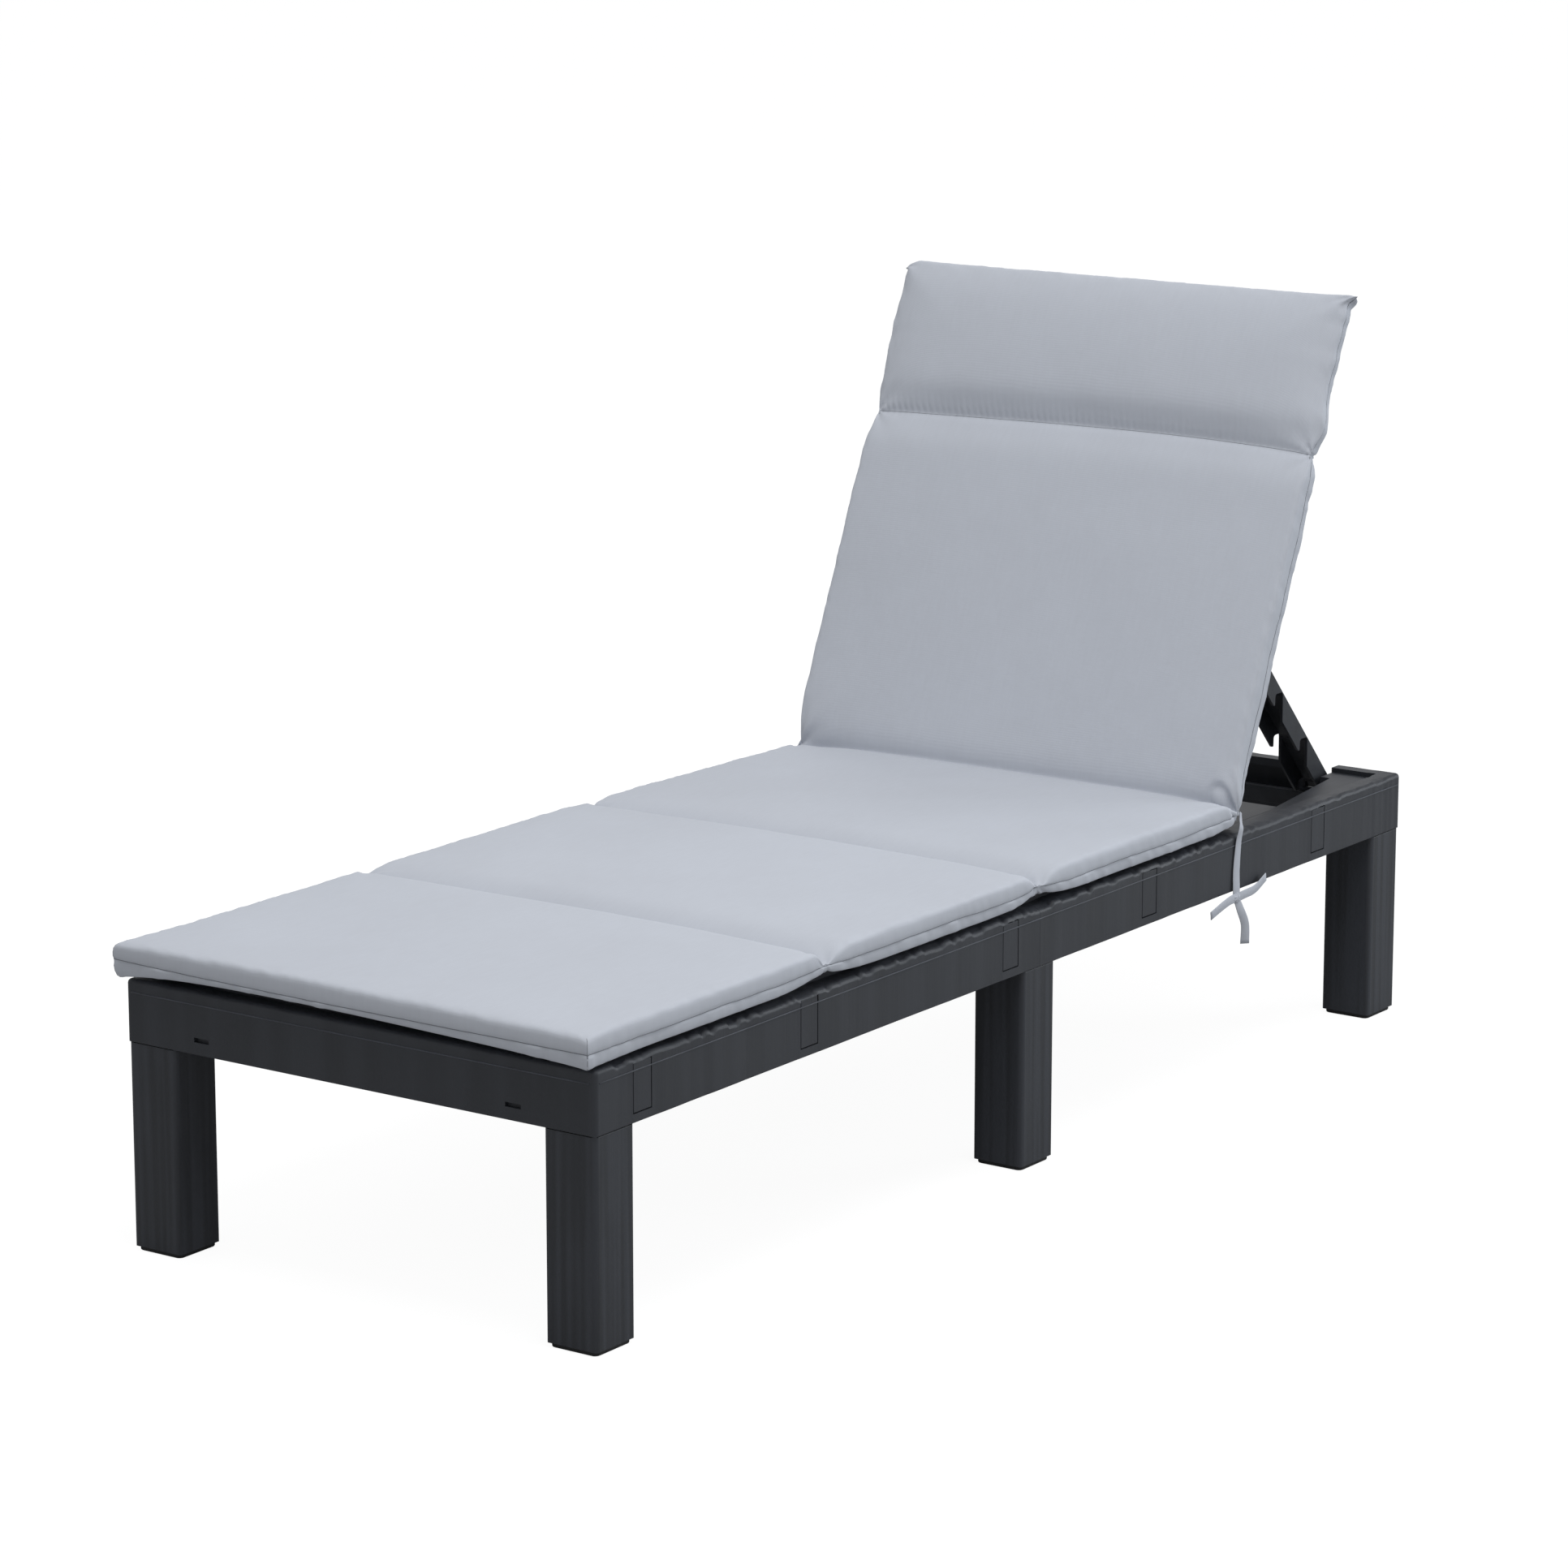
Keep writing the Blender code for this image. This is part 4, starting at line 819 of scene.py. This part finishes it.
def build_ties(finish):
    """On each side a tape from the bend over the rail to a knot, with three free tails."""
    for name, side in (("left", -1), ("right", 1)):
        face = side * (FRAME_HIGH.x + 2.4 * MM)
        y = HINGE_Y
        knot = Vector((side * (FRAME_HIGH.x + 3.4 * MM), y - 28 * MM, FRAME_LOW.z - 8 * MM))
        drop = [
            (side * 304 * MM, y - 9 * MM, CUSHION_BASE + 16 * MM),
            (side * 308 * MM, y - 15 * MM, CUSHION_BASE + 8 * MM),
            (side * 312.5 * MM, y - 21 * MM, CUSHION_BASE + 0.5 * MM),
            (face, y - 23 * MM, FRAME_HIGH.z - 10 * MM),
            (face, y - 27 * MM, FRAME_LOW.z + 26 * MM),
            (face + side * 1 * MM, y - 28 * MM, FRAME_LOW.z + 4 * MM),
            tuple(knot),
        ]
        tie = strip(f"tie_{name}", drop, finish, twist=-0.30 * side, narrow=0.35)
        for label, (path, twist) in TAILS.items():
            points = [knot + Vector((side * a, b, c)) * MM for a, b, c in path]
            strip(f"tie_{name}_{label}", points, finish, twist)
        knot_piece(f"tie_{name}_knot", knot, finish)
        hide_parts(f"cushion_tie_{name}")


def knot_piece(name, centre, finish):
    """The pulled knot: a squashed, creased bead of tape."""
    bm = bmesh.new()
    bmesh.ops.create_icosphere(bm, subdivisions=4, radius=1)
    for vert in bm.verts:
        p = vert.co.copy()
        ribs = 1 + 0.10 * math.sin(9 * math.atan2(p.z, p.y) + 4 * p.x)
        crease = ribs - 0.22 * math.exp(-((p.y + 0.3 * p.z) / 0.16) ** 2)
        vert.co = centre + Vector([a * size * crease for a, size in zip(p, KNOT_SIZE)]) * MM
    mesh = bpy.data.meshes.new(name)
    bm.to_mesh(mesh)
    bm.free()
    mesh.materials.append(finish)
    mesh.shade_smooth()
    on_rail(add_object(name, mesh))


# Frame mouldings

def moulding(name):
    """A bmesh of a CAD node with its flat faces whole."""
    bm = bmesh.new()
    bm.from_mesh(frame["nodes"][name].data)
    bmesh.ops.remove_doubles(bm, verts=bm.verts, dist=WELD)
    bmesh.ops.dissolve_limit(bm, angle_limit=math.radians(0.5), verts=bm.verts, edges=bm.edges)
    return bm


def sharp_edges(bm):
    long = [e for e in bm.edges if e.is_manifold and e.calc_length() > LONG_EDGE]
    return [e for e in long if e.calc_face_angle(0) > EDGE_ANGLE]


def soften(bm, edges, width):
    """Rounds edges as a mould does."""
    bmesh.ops.bevel(bm, geom=edges, offset=width, segments=2, profile=0.5, affect="EDGES", clamp_overlap=True)


def at_height(edge, height, slack):
    return all(abs(v.co.z - height) < slack for v in edge.verts)


def move_verts(bm, points):
    for vert, point in zip(bm.verts, points):
        vert.co = point


def stand_for(obj, name):
    """Puts a piece in a CAD node's place."""
    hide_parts(name)
    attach(obj, BODY_OF[name])


def set_moulding(bm, name, finish):
    """Makes the piece that stands for a CAD node from its worked bmesh."""
    bm.normal_update()
    for face in bm.faces:
        face.smooth = True
    for edge in bm.edges:
        edge.smooth = edge.calc_face_angle(0) < SHARP_ANGLE
    mesh = bpy.data.meshes.new(f"{name}_moulded")
    bm.to_mesh(mesh)
    bm.free()
    mesh.materials.append(finish)
    obj = add_object(f"{name}_moulded", mesh)
    modifier = obj.modifiers.new("normals", "WEIGHTED_NORMAL")
    modifier.keep_sharp = True
    apply_modifiers(obj)
    stand_for(obj, name)


def slice_mesh(bm, axis, places):
    """Cuts edges into a bmesh at each place along an axis, in rising order."""
    normal = Vector([1 if i == axis else 0 for i in range(3)])

    def span(face):
        values = [v.co[axis] for v in face.verts]
        return min(values), max(values)

    active = {face: span(face) for face in bm.faces}
    for place in places:
        crossing = [f for f, (low, high) in active.items() if low < place - WELD and high > place + WELD]
        edges = dict.fromkeys(e for f in crossing for e in f.edges)
        verts = dict.fromkeys(v for f in crossing for v in f.verts)
        parts = [*crossing, *edges, *verts]
        cut = bmesh.ops.bisect_plane(bm, geom=parts, plane_co=normal * place, plane_no=normal)
        for face in crossing:
            active.pop(face)
        fresh = [f for f in cut["geom"] if isinstance(f, bmesh.types.BMFace)]
        fresh += [f for f in crossing if f.is_valid]
        active.update((f, span(f)) for f in fresh)
        active = {f: ends for f, ends in active.items() if ends[1] > place + WELD}


def ripple(place, seed):
    """Height of the top band's uneven plank grain: flats that step a little up and down."""
    steps = np.tanh(3.5 * wave_noise(place / (30 * MM), seed, 2))
    return 0.6 * MM * steps + 0.3 * MM * wave_noise(place / (9 * MM), seed + 3, 2)


def chips(place, seed):
    """How far the band's outer edge is worn down: 0 to 1."""
    return smooth(0.42 + 2.4 * wave_noise(place / (20 * MM), seed, 2))


def grooves(place):
    """Depth of the grooves that run across the band and down the skirt near the head's corners."""
    reach = smooth((place - HEAD_Y + 95 * MM) / (25 * MM)) * smooth((HEAD_Y - 5 * MM - place) / (4 * MM))
    return 0.55 * MM * reach * (0.5 + 0.5 * np.tanh(4 * wave_noise(place / (8 * MM), 3.3, 2)))


def bands(place):
    """Height of the shallow upright bands on the skirt."""
    steps = np.tanh(4 * wave_noise(place / (60 * MM), 5.5, 2))
    return 0.30 * MM * steps + 0.10 * MM * wave_noise(place / (9 * MM), 4.4, 2)


def on_skirt(edge):
    """Whether an edge lies in one of the frame's outer faces."""
    faces = ((0, FRAME_HIGH.x), (1, abs(FRAME_LOW.y)), (1, HEAD_Y))
    return any(all(abs(abs(v.co[axis]) - place) < TOUCH for v in edge.verts) for axis, place in faces)


def shape_frame(points):
    """Works the band's grain and wear, then the skirt's bands, into the points of a frame half."""
    x, y, z = points.T
    from_end = np.minimum(y - FRAME_LOW.y, HEAD_Y - y)
    from_side = FRAME_HIGH.x - np.abs(x)
    on_side, on_end = from_side < BAND_WIDTH, from_end < BAND_WIDTH
    along_side = on_side & (~on_end | (from_side < from_end))
    clear = smooth((np.maximum(from_end, from_side) - 26 * MM) / (12 * MM))
    place = np.where(along_side, y, x)
    seeds = np.where(along_side, np.where(x > 0, RIGHT_SEED, LEFT_SEED), END_SEED)
    rise, wear = np.zeros(len(points)), np.zeros(len(points))
    for seed in np.unique(seeds):
        mask = seeds == seed
        rise[mask] = ripple(place[mask], float(seed)) * np.where(along_side[mask], 1, 0.3)
        wear[mask] = chips(place[mask], float(seed) + 1.5)
    band = (z > FRAME_HIGH.z - BAND_DEPTH) & (on_side | on_end)
    outer = np.minimum(from_side, from_end) < BAND_EDGE
    near_bend = 1 - 0.72 * smooth((y - HINGE_Y) / (60 * MM))
    points[:, 2] += np.where(band, (rise - 0.5 * MM) * clear, 0)
    points[:, 2] -= np.where(band & outer, 2.6 * MM * wear * clear * along_side * near_bend, 0)
    points[:, 2] -= np.where(band & along_side, grooves(y), 0)
    skirt = (from_side < TOUCH) & (z < FRAME_HIGH.z - BAND_EDGE)
    shift = (bands(y) * clear - grooves(y)) * (1 - near_latch(y))
    points[:, 0] += np.where(skirt, np.sign(x) * shift, 0)


def mould_frame(name, finish):
    """The frame's half with its uneven band, banded skirt and softened lower edge."""
    low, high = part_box(name)
    bm = moulding(name)
    lower = [e for e in sharp_edges(bm) if all(v.co.z < FRAME_LOW.z + HAIR for v in e.verts)]
    soften(bm, [e for e in lower if on_skirt(e)], 1.6 * MM)
    slice_mesh(bm, 2, [FRAME_LOW.z + 2.2 * MM, FRAME_HIGH.z - 16 * MM])
    slice_mesh(bm, 1, np.arange(low.y + 6 * MM, high.y - 1 * MM, 3.1 * MM))
    slice_mesh(bm, 0, np.arange(low.x + 6 * MM, high.x - 1 * MM, 4.2 * MM))
    points = np.array([v.co for v in bm.verts])
    shape_frame(points)
    move_verts(bm, points)
    set_moulding(bm, name, finish)


def near_latch(y):
    """1 within a latch plate's pocket, and at the seam between the halves."""
    out = np.where(np.abs(y - FRAME_HIGH.y) < LATCH_CLEAR, 1.0, 0.0)
    for number in range(1, LATCHES_A_SIDE + 1):
        low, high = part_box(f"latch_plate_right_{number}")
        out = np.where((y > low.y - LATCH_CLEAR) & (y < high.y + LATCH_CLEAR), 1, out)
    return out


def mould_latch(name, finish):
    """A latch plate with softened edges and a clear line round it."""
    low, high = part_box(name)
    centre = (low + high) / 2
    bm = moulding(name)
    for vert in bm.verts:
        vert.co.y -= math.copysign(LATCH_GAP, vert.co.y - centre.y)
        vert.co.z -= math.copysign(LATCH_GAP, vert.co.z - centre.z)
    soften(bm, bm.edges[:], 0.4 * MM)
    set_moulding(bm, name, finish)


def mould_leg(name, finish):
    """A leg with groups of upright flutes on its faces, and a softened top."""
    low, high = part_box(name)
    centre = (low + high) / 2
    bm = moulding(name)
    for vert in bm.verts:
        if vert.co.z < FRAME_LOW.z:
            vert.co.x += math.copysign(LEG_GROWTH, vert.co.x - centre.x)
            vert.co.y += math.copysign(LEG_GROWTH, vert.co.y - centre.y)
    low, high = (Vector((c.x + k * LEG_GROWTH, c.y + k * LEG_GROWTH, c.z)) for c, k in ((low, -1), (high, 1)))
    rim = [e for e in sharp_edges(bm) if at_height(e, FRAME_LOW.z, TOUCH)]
    foot = [e for e in sharp_edges(bm) if at_height(e, low.z, HAIR)]
    for vert in {v for e in rim for v in e.verts}:
        vert.co.z -= LEG_TOP_GAP
    soften(bm, rim + foot, 1.2 * MM)
    for axis in (0, 1):
        slice_mesh(bm, axis, np.arange(low[axis] + 6 * MM, high[axis] - 5 * MM, LEG_SLICE))
    points = np.array([v.co for v in bm.verts])
    x, y, z = points.T
    shaft = (z < FRAME_LOW.z - 2.5 * MM) & (z > low.z + 1.0 * MM)
    on_x = shaft & (np.minimum(np.abs(x - low.x), np.abs(x - high.x)) < HAIR)
    on_y = shaft & (np.minimum(np.abs(y - low.y), np.abs(y - high.y)) < HAIR)
    seed = sum(ord(letter) for letter in name) * 0.37
    points[:, 0] += np.where(on_x, np.sign((low.x + high.x) / 2 - x) * flutes(y - low.y, seed), 0)
    points[:, 1] += np.where(on_y, np.sign((low.y + high.y) / 2 - y) * flutes(x - low.x, seed + 5), 0)
    move_verts(bm, points)
    set_moulding(bm, name, finish)


def flutes(across, seed):
    """Depth of the flutes at a place across a leg's face: groups of grooves with plain strips between."""
    group = smooth(0.5 + 3 * wave_noise(across / (26 * MM), seed, 1))
    edge = smooth((across - FLUTES_FROM) / (3 * MM)) * smooth((FLUTES_TO - across) / (3 * MM))
    turn = 2 * math.pi * across / FLUTE_PITCH + 2 * wave_noise(across / (40 * MM), seed + 1, 1)
    groove = 0.5 + 0.5 * np.sin(turn)
    return FLUTE_DEPTH * edge * (0.2 + 0.8 * group) * groove ** 2


def mould_cap(name, finish):
    """A foot cap, drawn in under its leg, with rounded corners and a rounded lower edge."""
    low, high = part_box(name)
    centre, half = (low + high) / 2, (high.x - low.x) / 2 + CAP_GROWTH
    rings = []
    for height, inset in CAP_LEVELS:
        z, inset = low.z + height * MM, inset * MM
        reach = CAP_RADIUS - min(inset, CAP_RADIUS - TOUCH)
        for corner, (sx, sy) in enumerate(CAP_CORNERS):
            for step in range(CAP_STEPS):
                a = math.pi / 2 * (corner + step / (CAP_STEPS - 1))
                x = centre.x + sx * (half - inset - reach) + reach * math.cos(a)
                y = centre.y + sy * (half - inset - reach) + reach * math.sin(a)
                rings.append((x, y, z))
    faces = tube_faces(len(CAP_LEVELS), len(CAP_CORNERS) * CAP_STEPS)
    obj = mesh_object(f"{name}_moulded", rings, faces, finish)
    obj.data.set_sharp_from_angle(angle=EDGE_ANGLE)
    stand_for(obj, name)


def mould_plain(name, finish, width=0.8 * MM):
    """Any other node, with its long edges softened."""
    bm = moulding(name)
    soften(bm, sharp_edges(bm), width)
    set_moulding(bm, name, finish)


def bead(name, path, finish):
    """A piece of the fine raised line round the skirt, with a rounded face."""
    rings = []
    for point, out in path:
        point, out = Vector(point), Vector(out)
        for a in np.linspace(-math.pi / 2, math.pi / 2, LINE_ROUND):
            rings.append(point + out * (LINE_OUT * math.cos(a)) + Vector((0, 0, LINE_HALF * math.sin(a))))
        rings.append(point - out * MM)
    obj = mesh_object(name, rings, tube_faces(len(path), LINE_ROUND + 1), finish)
    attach(obj, "frame")


def build_beads(finish):
    """The line along both sides, across the foot, and across the head between the prop arms' channels."""
    x, z = FRAME_HIGH.x, FRAME_HIGH.z - LINE_DROP
    for name, side in (("left", -1), ("right", 1)):
        places = np.linspace(FRAME_LOW.y + LINE_CORNER_GAP, HEAD_Y - LINE_CORNER_GAP, 60)
        bead(f"skirt_line_{name}", [((side * x, y, z), (side, 0, 0)) for y in places], finish)
    end = x - LINE_CORNER_GAP
    left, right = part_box("prop_arm_left"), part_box("prop_arm_right")
    spans = {
        "foot": (FRAME_LOW.y, -1, -end, end),
        "head_left": (HEAD_Y, 1, -end, left[0].x - LINE_CHANNEL_GAP),
        "head_middle": (HEAD_Y, 1, left[1].x + LINE_CHANNEL_GAP, right[0].x - LINE_CHANNEL_GAP),
        "head_right": (HEAD_Y, 1, right[1].x + LINE_CHANNEL_GAP, end),
    }
    for name, (y, out, first, last) in spans.items():
        bead(f"skirt_line_{name}", [((a, y, z), (0, out, 0)) for a in np.linspace(first, last, 24)], finish)


def build_frame(plastics, rubber, steel):
    """A detailed moulding for every node of the frame, the backrest and the prop."""
    for name in sorted(frame["nodes"]):
        if name in ("foot_frame", "head_frame"):
            mould_frame(name, plastics["rail"])
        elif name.startswith("latch_plate"):
            mould_latch(name, plastics["rail"])
        elif name.startswith("leg_"):
            mould_leg(name, plastics["leg"])
        elif name.startswith("foot_cap"):
            mould_cap(name, rubber)
        elif "pin" in name:
            mould_plain(name, steel, 0.3 * MM)
        elif name.startswith("prop_") or name == "backrest_panel":
            mould_plain(name, plastics["back"])
        elif name.startswith(("foot_deck", "head_deck", "deck_beam", "hinge_beam")):
            mould_plain(name, plastics["deck"])
    # The beads take the lighter plastic, whose colour paints the highlight of the raised line
    build_beads(plastics["line"])


# Studio

def shown_to_camera(tree, plain, shown, output, share=1):
    """Shows camera rays a share of another shader in place of the plain one."""
    seen = node(tree, "LightPath").outputs["Is Camera Ray"]
    mix = node(tree, "MixShader")
    tree.links.new(combine(tree, "MULTIPLY", seen, share) if share < 1 else seen, mix.inputs["Fac"])
    tree.links.new(plain.outputs[0], mix.inputs[1])
    tree.links.new(shown.outputs[0], mix.inputs[2])
    tree.links.new(mix.outputs[0], tree.nodes[output].inputs["Surface"])


def build_stage():
    """A pale floor and a soft sky, both lighter to the camera than they light the object."""
    half = 40
    corners = [(-half, -half, 0), (half, -half, 0), (half, half, 0), (-half, half, 0)]
    made, shader, tree = material("floor_white", FLOOR, 0.9, {"Specular IOR Level": 0.0})
    glow = node(tree, "Emission", {"Color": (*WHITE, 1), "Strength": 1.31})
    shown_to_camera(tree, shader, glow, "Material Output", share=0.72)
    mesh_object("floor", corners, [(0, 1, 2, 3)], made, False)
    world = bpy.data.worlds.new("studio")
    bpy.context.scene.world = world
    world.use_nodes = True
    background = world.node_tree.nodes["Background"]
    set_inputs(background, {"Color": (*SKY, 1), "Strength": 0.50})
    white = node(world.node_tree, "Background", {"Color": (*WHITE, 1), "Strength": 1.0})
    shown_to_camera(world.node_tree, background, white, "World Output")


def area_light(name, place, target, size, power, color=WHITE):
    data = bpy.data.lights.new(name, "AREA")
    data.shape = "DISK"
    data.size = size
    data.energy = power
    data.color = color
    obj = add_object(name, data)
    obj.location = place
    obj.rotation_euler = (Vector(target) - Vector(place)).to_track_quat("-Z", "Y").to_euler()


def build_lights():
    area_light("key", place=(1.32, -0.85, 4.73), target=(0, 0, 0.3), size=2.6, power=115)
    area_light("rear", place=(-2.6, 3.4, 2.8), target=(0, 0.4, 0.5), size=2.2, power=26)
    area_light("side", place=(2.9, 3.7, 1.5), target=(0.3, 0, 0.25), size=2.2, power=60, color=COOL)


def build_camera():
    data = bpy.data.cameras.new("camera")
    data.sensor_width = SENSOR
    data.lens = SENSOR * FOCAL_PIXELS / IMAGE_PIXELS
    data.clip_end = FAR_CLIP
    obj = add_object("camera", data)
    obj.location = CAMERA_PLACE
    obj.rotation_euler = (math.pi / 2 - CAMERA_PITCH, 0, CAMERA_YAW)
    bpy.context.scene.camera = obj


def main():
    fabric = fabric_material()
    # lighter is the graphite twice as light: a painted highlight for the fine raised line on the skirt
    lighter, darker = (tuple(k * c for c in GRAPHITE) for k in (2.0, 0.8))
    plastics = {
        "rail": plastic_material("graphite_rail", (1, 1, 0.06), GRAPHITE, streak=34, contrast=0.09),
        "leg": plastic_material("graphite_leg", (1, 1, 0.02), GRAPHITE, streak=130, contrast=0.22),
        # The raised line's plastic is painted twice as light as the rail, a painted highlight along the bead
        "line": plastic_material("graphite_line", (1, 1, 1), lighter),
        "back": plastic_material("graphite_back", (1, 1, 1), darker),
        "deck": plastic_material("graphite_deck", (1, 0.1, 1), GRAPHITE),
    }
    build_frame(plastics, rubber_material(), steel_material())
    build_cushion(fabric, thread_material())
    build_ties(fabric)
    build_stage()
    build_lights()
    build_camera()
    bpy.context.scene.view_settings.view_transform = "Standard"


main()
